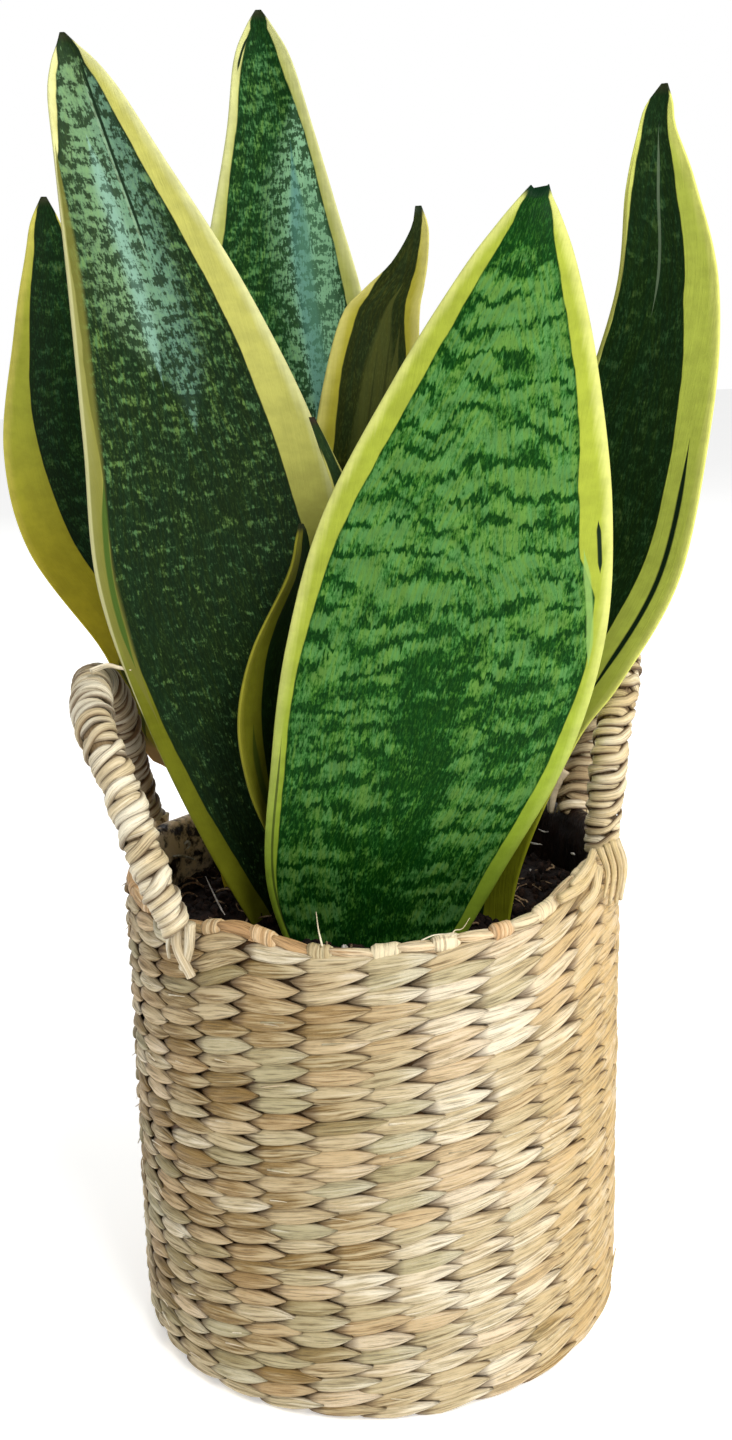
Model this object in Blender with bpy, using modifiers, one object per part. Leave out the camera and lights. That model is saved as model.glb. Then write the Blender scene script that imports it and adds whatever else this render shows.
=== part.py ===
"""A potted snake plant in a woven seagrass basket with two wrapped rope handles.

Sizes are in millimetres and are scaled to metres when a mesh is made. The origin is the centre of
the basket's underside, +Z is up, and the front leaf faces -Y.
"""

import math

import bpy
import bmesh
from mathutils import Vector

MM = 0.001
COLLECTION = "potted_snake_plant"
CUTTERS = "cutters"
GAP = 0.3

# Basket
BASKET_TALL = 143.5
BASKET_RADIUS = 74.2
FOOT_RADIUS = 74.2
WALL = 5.2
FLOOR = 5.0
FOOT_ROUND = 2.8
LEAN = 2.8
# The stitches are drawn a little larger than the real ones, which are 32 round and 33 high.
WEAVE_COLUMNS = 24
WEAVE_ROWS = 21
WEAVE_RELIEF = 0.9
STEPS_PER_COLUMN = 4
BORDER_TUBE = 2.3
BORDER_RELIEF = 0.4
BORDER_TURNS = 32
# Each rise of the rim: direction in degrees, height, half width in degrees.
RIM_RISES = ((328.0, 8.5, 16.0), (240.0, 3.6, 10.0), (153.0, 2.0, 14.0), (27.0, 1.5, 14.0))
RISE_STARTS = 100.0

# Liner and soil
LINER_WALL = 1.0
LINER_STEPS = 32
LINER_TALL = 137.0
SOIL_TALL = 127.0
SOIL_SWELL = 1.6

# Handles
HANDLE_RADIUS = 5.3
CORE_RADIUS = 3.0
WRAP_RELIEF = 0.5
WRAP_PITCH = 6.5
RINGS_PER_TURN = 3
WRAP_SIDES = 8
HANDLE_ROUTES = {
    "left": (
        (-50.7, -59.5, 142.0), (-55.8, -57.6, 158.0), (-63.2, -49.5, 179.0), (-70.8, -38.0, 194.5),
        (-75.3, -14.0, 200.5), (-76.0, 5.0, 198.3), (-76.0, 21.5, 187.0), (-74.5, 31.5, 169.0),
        (-71.3, 37.0, 153.0), (-67.4, 38.4, 142.0),
    ),
    "right": (
        (69.6, -24.0, 151.2), (70.0, -23.5, 164.0), (72.2, -21.0, 181.0), (76.3, -14.0, 194.0),
        (79.3, 2.0, 201.0), (79.0, 18.0, 197.0), (77.0, 29.0, 184.5), (74.2, 34.0, 169.0),
        (70.5, 34.5, 155.0), (68.2, 33.2, 145.2),
    ),
}
# Each tie: foot, direction in degrees, top, width and length.
HANDLE_TIES = (
    ("left_front", 228.0, 139.6, 6.5, 11.0),
    ("left_back", 151.0, 140.4, 8.0, 13.0),
    ("right_front", 334.0, 148.0, 12.0, 17.0),
    ("right_back", 27.0, 142.8, 8.0, 13.0),
)
TIE_THICK = 1.6
TIE_CLEAR = 0.6

# Leaves. A station is a level slice: height, x, y, width, and the turn of its face in degrees, where
# 0 faces the front and + turns to the right. The last one is the tip. A cup over 0 bends the edges
# forward, and one under 0 bends them back.
LEAVES = {
    "leaf_front": dict(cup=-0.12, thick=4.2, stations=(
        (114.0, 1.0, -22.0, 44.0, -4.0), (145.0, 5.5, -31.0, 67.0, -4.0),
        (180.0, 16.5, -38.0, 82.0, -4.0), (215.0, 24.5, -43.0, 85.5, -4.0),
        (250.0, 31.0, -46.0, 75.5, -4.0), (285.0, 39.5, -46.0, 52.0, -4.0),
        (310.0, 46.0, -43.0, 32.0, -4.0), (322.0, 49.0, -41.0, 19.0, -4.0),
        (328.0, 50.5, -39.0, 11.0, -4.0), (330.5, 52.5, -38.0, 3.0, -4.0))),
    "leaf_left_broad": dict(cup=0.2, thick=4.2, stations=(
        (114.0, -8.0, -1.0, 42.0, 8.0), (150.0, -15.0, -2.0, 62.0, 8.0),
        (190.0, -25.5, -4.0, 71.0, 8.0), (230.0, -35.0, -6.0, 73.0, 8.0),
        (270.0, -40.0, -8.0, 64.0, 8.0), (310.0, -49.0, -10.0, 47.0, 8.0),
        (345.0, -59.5, -12.0, 27.5, 8.0), (360.0, -64.0, -13.0, 20.0, 8.0),
        (368.0, -66.0, -13.5, 14.0, 8.0), (372.5, -67.3, -14.0, 7.0, 8.0),
        (375.0, -68.4, -14.0, 1.2, 8.0))),
    "leaf_back": dict(cup=0.25, thick=3.8, stations=(
        (114.0, -2.0, 19.0, 32.0, 0.0), (170.0, -8.0, 29.0, 48.0, 0.0),
        (230.0, -13.0, 36.0, 58.0, 0.0), (280.0, -16.0, 41.0, 57.0, 0.0),
        (310.0, -17.8, 43.0, 48.0, 0.0), (330.0, -18.0, 44.0, 38.0, 0.0),
        (355.0, -18.3, 44.0, 25.5, 0.0), (375.0, -19.5, 43.0, 16.5, 0.0),
        (384.0, -20.0, 43.0, 8.0, 0.0), (389.0, -20.0, 42.0, 1.2, 0.0))),
    "leaf_left_far": dict(cup=0.15, thick=3.6, stations=(
        (114.0, -30.0, 18.0, 24.0, 30.0), (150.0, -34.5, 30.0, 38.0, 36.0),
        (185.0, -53.0, 45.5, 46.0, 40.0), (205.0, -62.0, 50.0, 50.0, 40.0),
        (235.0, -81.0, 50.5, 52.0, 40.0), (265.0, -87.2, 48.5, 47.0, 40.0),
        (300.0, -87.0, 45.0, 30.0, 36.0), (322.0, -87.0, 42.0, 15.0, 30.0),
        (332.0, -87.0, 41.0, 9.0, 30.0), (339.5, -86.5, 40.0, 1.2, 30.0))),
    "leaf_middle": dict(cup=0.3, thick=3.4, stations=(
        (114.0, 12.0, 9.0, 22.0, -15.0), (160.0, 6.0, 11.0, 30.0, -15.0),
        (205.0, 3.0, 11.0, 33.0, -15.0), (245.0, 4.0, 9.0, 31.0, -15.0),
        (275.0, 8.0, 6.0, 29.0, -15.0), (300.0, 12.0, 5.0, 22.5, -15.0),
        (308.0, 16.0, 4.5, 17.0, -15.0), (315.0, 20.5, 4.0, 10.0, -15.0),
        (324.0, 23.5, 4.0, 4.5, -15.0), (330.0, 23.2, 4.0, 1.2, -15.0))),
    "leaf_right": dict(cup=0.15, thick=3.8, stations=(
        (114.0, 30.0, -6.0, 26.0, -30.0), (145.0, 33.0, -8.0, 36.0, -36.0),
        (182.0, 46.5, -11.0, 44.0, -41.0), (200.0, 58.0, -13.0, 47.0, -43.0),
        (230.0, 73.7, -16.0, 49.0, -45.0), (270.0, 82.5, -20.0, 44.0, -45.0),
        (305.0, 88.0, -23.0, 30.5, -42.0), (330.0, 85.5, -25.0, 19.5, -36.0),
        (344.0, 84.0, -26.0, 10.0, -30.0), (350.0, 84.3, -27.0, 7.0, -30.0),
        (355.0, 85.3, -28.0, 1.2, -30.0))),
    "leaf_inner": dict(cup=0.2, thick=2.8, stations=(
        (114.0, -15.0, -11.0, 12.0, 50.0), (140.0, -18.5, -13.0, 14.0, 50.0),
        (155.0, -21.5, -14.0, 17.0, 50.0), (172.0, -25.0, -15.0, 24.0, 50.0),
        (192.0, -26.0, -18.0, 26.0, 50.0), (212.0, -23.0, -20.0, 18.0, 50.0),
        (232.0, -14.5, -20.0, 9.0, 50.0), (242.0, -12.8, -20.0, 4.5, 50.0),
        (246.0, -12.6, -20.0, 1.2, 50.0))),
    "leaf_young": dict(cup=0.35, thick=2.8, stations=(
        (114.0, 3.0, -13.5, 9.0, 10.0), (160.0, 7.0, -20.0, 12.0, 15.0),
        (200.0, 7.0, -25.0, 12.0, 20.0), (235.0, 3.0, -26.0, 9.0, 30.0),
        (254.0, -1.0, -25.0, 5.0, 30.0), (266.0, -5.0, -24.0, 3.0, 30.0),
        (275.0, -8.3, -24.0, 1.2, 30.0))),
}
LEAF_EDGE = 0.9
LEAF_THICKNESS_SHARE = 0.3
LEAF_ACROSS = 6
LONG_SPAN = 24.0
HOLE_CLEAR = 0.4
HOLE_TOP = 146.0

# Colours and finishes: base colour, roughness
STRAW = ((0.62, 0.46, 0.24), 0.75)
CORD = ((0.68, 0.54, 0.32), 0.75)
ROPE = ((0.50, 0.36, 0.18), 0.85)
FILM = ((0.02, 0.016, 0.014), 0.3)
SOIL = ((0.035, 0.02, 0.012), 0.95)
LEAF_GREENS = {
    "leaf_front": (0.05, 0.22, 0.04),
    "leaf_left_broad": (0.03, 0.08, 0.04),
    "leaf_back": (0.05, 0.14, 0.06),
    "leaf_left_far": (0.02, 0.07, 0.03),
    "leaf_middle": (0.05, 0.06, 0.02),
    "leaf_right": (0.03, 0.07, 0.02),
    "leaf_inner": (0.10, 0.12, 0.02),
    "leaf_young": (0.08, 0.14, 0.03),
}
LEAF_ROUGHNESS = 0.4


def clear_scene():
    for obj in list(bpy.data.objects):
        bpy.data.objects.remove(obj, do_unlink=True)


def collection_named(name):
    found = bpy.data.collections.new(name)
    bpy.context.scene.collection.children.link(found)
    return found


def material_named(name, colour, roughness):
    material = bpy.data.materials.new(name)
    material.use_nodes = True
    shader = material.node_tree.nodes["Principled BSDF"]
    shader.inputs["Base Color"].default_value = (*colour, 1.0)
    shader.inputs["Roughness"].default_value = roughness
    shader.inputs["Metallic"].default_value = 0.0
    return material


def object_from(name, mesh, collection, material=None):
    obj = bpy.data.objects.new(name, mesh)
    collection.objects.link(obj)
    if material:
        mesh.materials.append(material)
    return obj


def smooth_share(value):
    """0 below 0, 1 above 1 and a soft step between them."""
    value = min(max(value, 0.0), 1.0)
    return value * value * (3.0 - 2.0 * value)


def rim_rise(angle):
    """How much higher the rim is in this direction than its plain height."""
    degrees = math.degrees(angle) % 360.0
    rise = 0.0
    for centre, height, half_width in RIM_RISES:
        away = (degrees - centre + 180.0) % 360.0 - 180.0
        rise += height * math.exp(-((away / half_width) ** 2))
    return rise


def settled(point):
    """A point of the plain turned shape, moved by the rim's rise and the basket's lean."""
    angle = math.atan2(point.y, point.x)
    share = smooth_share((point.z - RISE_STARTS) / (BASKET_TALL - RISE_STARTS))
    high = point.z + share * rim_rise(angle)
    return Vector((point.x + LEAN * point.z / BASKET_TALL, point.y, high))


def wall_point(angle, radius, height):
    return settled(Vector((radius * math.cos(angle), radius * math.sin(angle), height)))


def evaluated_copy(obj):
    """The mesh that the object's modifiers make, as a mesh of its own."""
    graph = bpy.context.evaluated_depsgraph_get()
    return bpy.data.meshes.new_from_object(obj.evaluated_get(graph))


def turned(name, profile, steps, collection):
    """A profile of (radius, height) turned round Z, from the inside over the top and down outside."""
    mesh = bpy.data.meshes.new(name)
    points = [(radius * MM, 0.0, height * MM) for radius, height in profile]
    mesh.from_pydata(points, [(i, i + 1) for i in range(len(points) - 1)], [])
    obj = object_from(name, mesh, collection)
    screw = obj.modifiers.new("turn", "SCREW")
    screw.steps = steps
    screw.render_steps = steps
    screw.use_merge_vertices = True
    screw.merge_threshold = 0.00001
    obj.data = evaluated_copy(obj)
    obj.modifiers.clear()
    bpy.data.meshes.remove(mesh)
    return obj


def move_points(obj, rule):
    """Moves each point of the object's mesh by a rule in millimetres."""
    for vertex in obj.data.vertices:
        vertex.co = rule(vertex.co / MM) * MM


def finish(obj, material):
    obj.data.materials.append(material)
    obj.data.shade_smooth()
    obj.data.set_sharp_from_angle(angle=math.radians(50.0))


def loft(name, rings, collection, material):
    """A closed solid through rings of points, which all have the same count."""
    builder = bmesh.new()
    made = [[builder.verts.new(point * MM) for point in ring] for ring in rings]
    count = len(made[0])
    half = count // 2
    for low, high in zip(made, made[1:]):
        for i in range(count):
            after = (i + 1) % count
            if i < half:
                builder.faces.new((low[i], low[after], high[after]))
                builder.faces.new((low[i], high[after], high[i]))
            else:
                builder.faces.new((low[i], low[after], high[i]))
                builder.faces.new((low[after], high[after], high[i]))
    for ring in (made[0], made[-1]):
        for i in range(half - 1):
            builder.faces.new((ring[i], ring[i + 1], ring[count - 2 - i], ring[count - 1 - i]))
    bmesh.ops.recalc_face_normals(builder, faces=builder.faces)
    mesh = bpy.data.meshes.new(name)
    builder.to_mesh(mesh)
    builder.free()
    obj = bpy.data.objects.new(name, mesh)
    collection.objects.link(obj)
    if material:
        finish(obj, material)
    return obj


def through(points, steps):
    """Points along one smooth curve through these, with this many steps in each span."""
    ends = [points[0] * 2.0 - points[1], *points, points[-1] * 2.0 - points[-2]]
    found = []
    for before, start, end, after in zip(ends, ends[1:], ends[2:], ends[3:]):
        for step in range(steps):
            t = step / steps
            found.append(0.5 * (
                2.0 * start
                + (end - before) * t
                + (2.0 * before - 5.0 * start + 4.0 * end - after) * t**2
                + (3.0 * start - 3.0 * end + after - before) * t**3
            ))
    return [*found, points[-1]]


def make_basket(parts, material):
    wall_low = FOOT_ROUND
    wall_high = BASKET_TALL - 2.0 * BORDER_TUBE - GAP
    inner = BASKET_RADIUS - WALL
    profile = [(0.0, FLOOR), (inner, FLOOR), (inner, wall_high)]
    for row in range(WEAVE_ROWS):
        share = row / (WEAVE_ROWS - 1)
        height = wall_high + (wall_low - wall_high) * share
        profile.append((BASKET_RADIUS + (FOOT_RADIUS - BASKET_RADIUS) * share, height))
    profile += [(FOOT_RADIUS - 0.3 * FOOT_ROUND, 0.3 * FOOT_ROUND), (FOOT_RADIUS - FOOT_ROUND, 0.0), (0.0, 0.0)]
    basket = turned("basket", profile, STEPS_PER_COLUMN * WEAVE_COLUMNS, parts)
    least = (FOOT_RADIUS + inner) / 2.0

    def rule(point):
        radius = math.hypot(point.x, point.y)
        if radius < least or point.z < wall_low - 0.1:
            return settled(point)
        angle = math.atan2(point.y, point.x)
        share = (wall_high - point.z) / (wall_high - wall_low) * (WEAVE_ROWS - 1)
        sign = 1.0 if round(share) % 2 else -1.0
        raised = radius + sign * WEAVE_RELIEF * math.cos(WEAVE_COLUMNS * angle)
        return settled(Vector((raised * math.cos(angle), raised * math.sin(angle), point.z)))

    move_points(basket, rule)
    finish(basket, material)
    return basket


def make_border(parts, material):
    bpy.ops.mesh.primitive_torus_add(
        major_segments=2 * BORDER_TURNS,
        minor_segments=6,
        major_radius=(BASKET_RADIUS - WALL / 2.0) * MM,
        minor_radius=BORDER_TUBE * MM,
        location=(0.0, 0.0, 0.0),
    )
    border = bpy.context.object
    border.name = "basket_border"
    for collection in border.users_collection:
        collection.objects.unlink(border)
    parts.objects.link(border)
    middle = BASKET_RADIUS - WALL / 2.0

    def rule(point):
        angle = math.atan2(point.y, point.x)
        radius = math.hypot(point.x, point.y) - middle
        twist = math.atan2(point.z, radius)
        share = 1.0 - BORDER_RELIEF / BORDER_TUBE * (
            0.5 + 0.5 * math.cos(BORDER_TURNS * angle + 3.0 * twist))
        out = middle + radius * share
        high = BASKET_TALL - BORDER_TUBE + point.z * share
        return settled(Vector((out * math.cos(angle), out * math.sin(angle), high)))

    move_points(border, rule)
    finish(border, material)
    return border


def make_liner(parts, material):
    outer = BASKET_RADIUS - WALL - GAP
    inner = outer - LINER_WALL
    low = FLOOR + GAP
    profile = (
        (0.0, low + LINER_WALL), (inner, low + LINER_WALL), (inner, RISE_STARTS), (inner, LINER_TALL),
        (outer, LINER_TALL), (outer, RISE_STARTS), (outer, low), (0.0, low),
    )
    liner = turned("plastic_liner", profile, LINER_STEPS, parts)
    move_points(liner, settled)
    finish(liner, material)
    return liner


def make_soil(parts, cutters, material):
    radius = BASKET_RADIUS - WALL - LINER_WALL - 2.0 * GAP
    low = FLOOR + LINER_WALL + 2.0 * GAP
    profile = (
        (0.0, SOIL_TALL + SOIL_SWELL), (radius * 0.35, SOIL_TALL + SOIL_SWELL),
        (radius * 0.7, SOIL_TALL + 0.5 * SOIL_SWELL), (radius, SOIL_TALL), (radius, RISE_STARTS),
        (radius, low), (0.0, low),
    )
    soil = turned("potting_soil", profile, LINER_STEPS, parts)
    move_points(soil, lambda point: Vector((point.x + LEAN * point.z / BASKET_TALL, point.y, point.z)))
    for name, leaf in LEAVES.items():
        cutter = leaf_hole(name, leaf, cutters)
        cut = soil.modifiers.new(name, "BOOLEAN")
        cut.operation = "DIFFERENCE"
        cut.object = cutter
    finish(soil, material)
    return soil


def leaf_rows(leaf):
    """The leaf's stations, with one more halfway along each long span."""
    stations = [Vector(station) for station in leaf["stations"]]
    fine = through(stations, 2)
    rows = []
    for i, station in enumerate(stations[:-1]):
        rows.append(station)
        if stations[i + 1][0] - station[0] > LONG_SPAN:
            rows.append(fine[2 * i + 1])
    return [*rows, stations[-1]]


def leaf_section(leaf, row, clear=0.0):
    """One level slice of a leaf: its front from left to right, then its back from right to left."""
    height, x, y, width, turn = row
    turn = math.radians(turn)
    side = Vector((math.cos(turn), math.sin(turn), 0.0))
    face = Vector((math.sin(turn), -math.cos(turn), 0.0))
    middle = Vector((x, y, height))
    half = width / 2.0
    deepest = min(leaf["thick"], LEAF_THICKNESS_SHARE * width)
    front = []
    back = []
    for i in range(LEAF_ACROSS + 1):
        across = 2.0 * i / LEAF_ACROSS - 1.0
        bend = leaf["cup"] * half * across**2
        thick = LEAF_EDGE + (deepest - LEAF_EDGE) * (1.0 - across**2) if deepest > LEAF_EDGE else LEAF_EDGE
        place = middle + side * across * (half + clear)
        front.append(place + face * (bend + clear))
        back.append(place + face * (bend - thick - clear))
    return front + back[::-1]


def make_leaf(name, leaf, parts, material):
    rings = [leaf_section(leaf, row) for row in leaf_rows(leaf)]
    return loft(name, rings, parts, material)


def leaf_hole(name, leaf, cutters):
    """The hole that a leaf stands in: its own foot with a little room, cut up through the soil."""
    low, high = (Vector(station) for station in leaf["stations"][:2])
    rows = [row for row in leaf_rows(leaf) if row[0] < HOLE_TOP]
    top = low.lerp(high, (HOLE_TOP - low[0]) / (high[0] - low[0]))
    if high[0] < HOLE_TOP:
        second = Vector(leaf["stations"][2])
        top = high.lerp(second, (HOLE_TOP - high[0]) / (second[0] - high[0]))
    rows.append(top)
    rings = [leaf_section(leaf, row, HOLE_CLEAR) for row in rows]
    for point in rings[0]:
        point.z -= GAP
    hole = loft(name + "_hole", rings, cutters, None)
    hole.hide_render = True
    hole.display_type = "WIRE"
    return hole


def handle_points(route):
    return through([Vector(point) for point in route], 6)


def make_core(side, route, parts, material):
    """The rope inside the wrapping, as a curve with round caps."""
    curve = bpy.data.curves.new("handle_core_" + side, "CURVE")
    curve.dimensions = "3D"
    curve.bevel_depth = CORE_RADIUS * MM
    curve.bevel_resolution = 1
    curve.use_fill_caps = True
    points = through([Vector(point) for point in route], 3)
    spline = curve.splines.new("POLY")
    spline.points.add(len(points) - 1)
    for place, point in zip(spline.points, points):
        place.co = (*(point * MM), 1.0)
    core = bpy.data.objects.new("handle_core_" + side, curve)
    parts.objects.link(core)
    curve.materials.append(material)
    return core


def evenly(points, step):
    """Places a fixed step apart along a line of points, with the direction there."""
    lengths = [0.0]
    for a, b in zip(points, points[1:]):
        lengths.append(lengths[-1] + (b - a).length)
    count = max(2, round(lengths[-1] / step))
    found = []
    part = 0
    for i in range(count + 1):
        along = lengths[-1] * i / count
        while part < len(points) - 2 and lengths[part + 1] < along:
            part += 1
        share = (along - lengths[part]) / (lengths[part + 1] - lengths[part])
        found.append(points[part].lerp(points[part + 1], share))
    return found


def frames_along(points):
    """A direction and two crossways directions at each point, turning as little as they can."""
    frames = []
    aside = None
    for i, point in enumerate(points):
        ahead = (points[min(i + 1, len(points) - 1)] - points[max(i - 1, 0)]).normalized()
        if aside is None:
            aside = ahead.orthogonal().normalized()
        aside = (aside - ahead * aside.dot(ahead)).normalized()
        frames.append((point, aside, ahead.cross(aside)))
    return frames


def make_wrap(side, route, parts, material):
    """The cord wound round the core, as a sleeve with a ridge that runs round it."""
    step = WRAP_PITCH / RINGS_PER_TURN
    frames = frames_along(evenly(handle_points(route), step))
    builder = bmesh.new()
    rings = []
    for i, (point, aside, across) in enumerate(frames):
        ring = []
        for k in range(WRAP_SIDES):
            turn = 2.0 * math.pi * k / WRAP_SIDES
            ridge = math.cos(2.0 * math.pi * i / RINGS_PER_TURN - turn)
            radius = HANDLE_RADIUS + WRAP_RELIEF * ridge
            place = point + (aside * math.cos(turn) + across * math.sin(turn)) * radius
            ring.append(builder.verts.new(place * MM))
        rings.append(ring)
    last = len(frames) - 1
    inside = sorted({0, last, *range(0, last, RINGS_PER_TURN)}, reverse=True)
    bore = CORE_RADIUS / math.cos(math.pi / WRAP_SIDES) + GAP
    for i in inside:
        point, aside, across = frames[i]
        ring = []
        for k in range(WRAP_SIDES):
            turn = 2.0 * math.pi * k / WRAP_SIDES
            place = point + (aside * math.cos(turn) + across * math.sin(turn)) * bore
            ring.append(builder.verts.new(place * MM))
        rings.append(ring)
    for low, high in zip(rings, [*rings[1:], rings[0]]):
        for k in range(WRAP_SIDES):
            after = (k + 1) % WRAP_SIDES
            builder.faces.new((low[k], low[after], high[after], high[k]))
    bmesh.ops.recalc_face_normals(builder, faces=builder.faces)
    mesh = bpy.data.meshes.new("handle_wrap_" + side)
    builder.to_mesh(mesh)
    builder.free()
    wrap = object_from("handle_wrap_" + side, mesh, parts)
    finish(wrap, material)
    return wrap


def make_tie(name, angle, top, width, length, parts, material):
    """Strand ends that lie on the outside of the wall under a handle's foot, spread a little."""
    inner = BASKET_RADIUS + WEAVE_RELIEF + TIE_CLEAR
    rings = []
    rows = 4
    columns = 3
    for row in range(rows + 1):
        height = top - length * row / rows
        spread = width * (0.8 + 0.2 * row / rows) / inner
        near = []
        far = []
        for column in range(columns + 1):
            at = math.radians(angle) + spread * (column / columns - 0.5)
            share = (height / BASKET_TALL) * LEAN
            for radius, line in ((inner, near), (inner + TIE_THICK, far)):
                line.append(Vector((radius * math.cos(at) + share, radius * math.sin(at), height)))
        rings.append(near + far[::-1])
    return loft("handle_tie_" + name, rings, parts, material)


def main():
    clear_scene()
    parts = collection_named(COLLECTION)
    cutters = collection_named(CUTTERS)
    cutters.hide_render = True
    straw = material_named("seagrass", *STRAW)
    cord = material_named("twisted_cord", *CORD)
    rope = material_named("core_rope", *ROPE)
    film = material_named("dark_film", *FILM)
    soil = material_named("potting_mix", *SOIL)
    make_basket(parts, straw)
    make_border(parts, straw)
    make_liner(parts, film)
    make_soil(parts, cutters, soil)
    for side, route in HANDLE_ROUTES.items():
        make_core(side, route, parts, rope)
        make_wrap(side, route, parts, cord)
    for name, angle, top, width, length in HANDLE_TIES:
        make_tie(name, angle, top, width, length, parts, cord)
    for name, leaf in LEAVES.items():
        make_leaf(name, leaf, parts, material_named(name, LEAF_GREENS[name], LEAF_ROUGHNESS))


main()
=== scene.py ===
"""Looks of the potted snake plant: woven seagrass basket, corded handles, film, soil and leaves.

Shapes are worked out in millimetres in the CAD model's own frame, and a mesh is made in metres.
"""

import math

import bmesh
import bpy
import numpy as np
from mathutils import Matrix


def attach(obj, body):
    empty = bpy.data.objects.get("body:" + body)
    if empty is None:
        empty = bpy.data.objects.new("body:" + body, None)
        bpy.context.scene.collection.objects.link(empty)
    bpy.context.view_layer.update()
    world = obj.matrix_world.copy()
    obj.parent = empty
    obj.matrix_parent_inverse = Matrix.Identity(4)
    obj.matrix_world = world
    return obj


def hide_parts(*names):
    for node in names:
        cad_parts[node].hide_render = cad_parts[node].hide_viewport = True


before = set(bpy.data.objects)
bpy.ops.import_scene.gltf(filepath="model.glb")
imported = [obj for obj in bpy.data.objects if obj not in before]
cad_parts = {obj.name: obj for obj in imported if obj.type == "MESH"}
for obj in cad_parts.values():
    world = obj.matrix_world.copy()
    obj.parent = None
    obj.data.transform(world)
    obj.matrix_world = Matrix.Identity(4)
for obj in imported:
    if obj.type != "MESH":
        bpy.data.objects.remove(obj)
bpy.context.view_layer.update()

MM = 0.001
SEED = 11

# Studio, in metres: each light's name, place, size, power and colour
SKY_LIGHT = 0.48
FLOOR_LIGHT = 0.42
FLOOR_HALF = 6.0
FLOOR_BELOW = 0.0002
LIGHTS_AIM = (0.0, 0.0, 0.18)
LIGHTS = (
    ("key_light", (0.7, -1.15, 1.5), 0.7, 24.0, (1.0, 0.985, 0.96)),
    ("warm_light", (1.5, -0.4, 0.6), 0.9, 7.0, (1.0, 0.9, 0.76)),
    ("back_light", (-0.4, 1.5, 1.3), 1.0, 9.0, (0.97, 0.99, 1.0)),
)

# Camera: place in millimetres, turns in degrees
CAMERA_AT = (2.8, -461.0, 298.0)
CAMERA_DOWN = 13.8
CAMERA_ROLL = -2.4
CAMERA_LENS = 40.0
FILM_SIDE = 36.0

# Basket, as the CAD model has it. The rim rises at four places: direction in degrees, height, half width.
BASKET_TALL = 143.5
LEAN = 2.8
RIM_RISES = ((328.0, 8.5, 16.0), (240.0, 3.6, 10.0), (153.0, 2.0, 14.0), (27.0, 1.5, 14.0))
RISE_STARTS = 100.0
WALL_INSIDE = 69.0
WALL_BEHIND = 72.0
FLOOR_TOP = 5.0
FLOOR_UNDER = 2.2
# Tone of the backing: its third value paints the shell in shade.
WALL_TONE = (0.3, 0.3, 0.9)

# Stitches
COLUMNS = 28
ROWS = 30
COLUMN_PITCH = 16.6
COLUMN_LEAN = 0.0016
LEAN_BELOW_ROW = 26
FIRST_ROW = 2.9
LAST_ROW = 137.4
STITCH_RADIUS = 72.6
STITCH_LONG = 23.0
STITCH_HALF_TALL = 2.95
STITCH_SLOPE = 9.8
STITCH_CROWN = 1.3
STITCH_SWELL = 0.5
STITCH_TILT = 0.85
STITCH_TONES = (0.25, 0.98)
STITCH_POINTS_LONG = 12
STITCH_POINTS_ACROSS = 11
STITCH_BACK = (0.6, 0.0, -0.6)
# How round a stitch's outline is ahead of its middle and behind it, as two powers
LENS_AHEAD = (1.9, 0.9)
LENS_BEHIND = (3.2, 0.7)
# How much stitches differ, by chance
SIZE_SPREAD = 0.05
SLOPE_SPREAD = 1.5
SWAY_SPREAD = 0.2
LIFT_SPREAD = 0.15
DROP_SPREAD = 0.18
COLUMN_SPREAD = 0.045
FOOT_TUCK = 1.6
FOOT_TUCK_HEIGHT = 7.0
BASE_STITCH_HEIGHT = 2.4
LEAST_HEIGHT = 0.15
BASE_ROWS = 16
WALL_PARTS = (("low", 0, 10), ("middle", 10, 21), ("high", 21, ROWS))

# Border of the rim
BORDER_RADIUS = 71.6
BORDER_HEIGHT = 141.3
BORDER_TUBE = 2.3
BAND_WIDE = 7.2
BAND_OUT = 2.0
BAND_ROWS = 7
BAND_SIDES = 16
# Strands between two bands: how far out, height at the start and the end, radius.
BORDER_STRANDS = ((0.75, 1.0, -0.2, 1.45), (0.35, -0.5, -1.5, 1.35), (-1.0, 0.3, 0.0, 1.4))
RIM_DIP = 1.5

# Handles: the CAD model's routes
HANDLE_ROUTES = {
    "left": (
        (-50.2, -59.5, 144.2), (-55.3, -57.6, 158), (-62.9, -49.5, 179), (-70.8, -38, 194.5),
        (-75.3, -14, 200.5), (-75.7, 5, 198.3), (-73.9, 21.5, 187), (-72.6, 31.5, 169),
        (-71.3, 37, 153), (-67.4, 38.4, 142),
    ),
    "right": (
        (68.3, -24, 148), (70, -23.5, 164), (72.2, -21, 181), (76.3, -14, 194),
        (79.3, 2, 201), (79, 18, 197), (77, 29, 184.5), (74.2, 34, 169),
        (70.2, 34.3, 155), (67, 31.6, 144.8),
    ),
}
# How far along the handle, and how far its cord reaches from the middle there
HANDLE_RADII = {
    "left": ((0.0, 4.4), (0.07, 5.3), (0.2, 5.6), (0.4, 6.0), (1.0, 5.7)),
    "right": ((0.0, 5.2), (0.06, 5.6), (0.86, 5.4), (0.94, 6.4), (1.0, 5.8)),
}
TURN_PITCH = {"left": 5.2, "right": 5.0}
CROSSINGS_PER_TURN = {"left": 0.7, "right": 1.0}
CROSSING_START = {"left": 0.6, "right": -1.65}
CROSSING_WANDER = {"left": 1.0, "right": 0.4}
CORD_TONE = {"left": 0.76, "right": 0.62}
# How much painted shade lies on the two sides of each cord strand
CORD_SIDE_SHADE = {"left": 0.95, "right": 1.2}
CORD_DEEP = 1.25
CORE_DEEP = 1.95
POINTS_PER_TURN = 24
STRAND_HALF_WIDE = 0.295
STRAND_APART = {"left": 0.25, "right": 0.31}
STRAND_OVER = 0.5
STRAND_FLAT = 0.52
STRAND_SIDES = 12
STRAND_FOLD = 0.3
STRAND_SWING = 2.4
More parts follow.
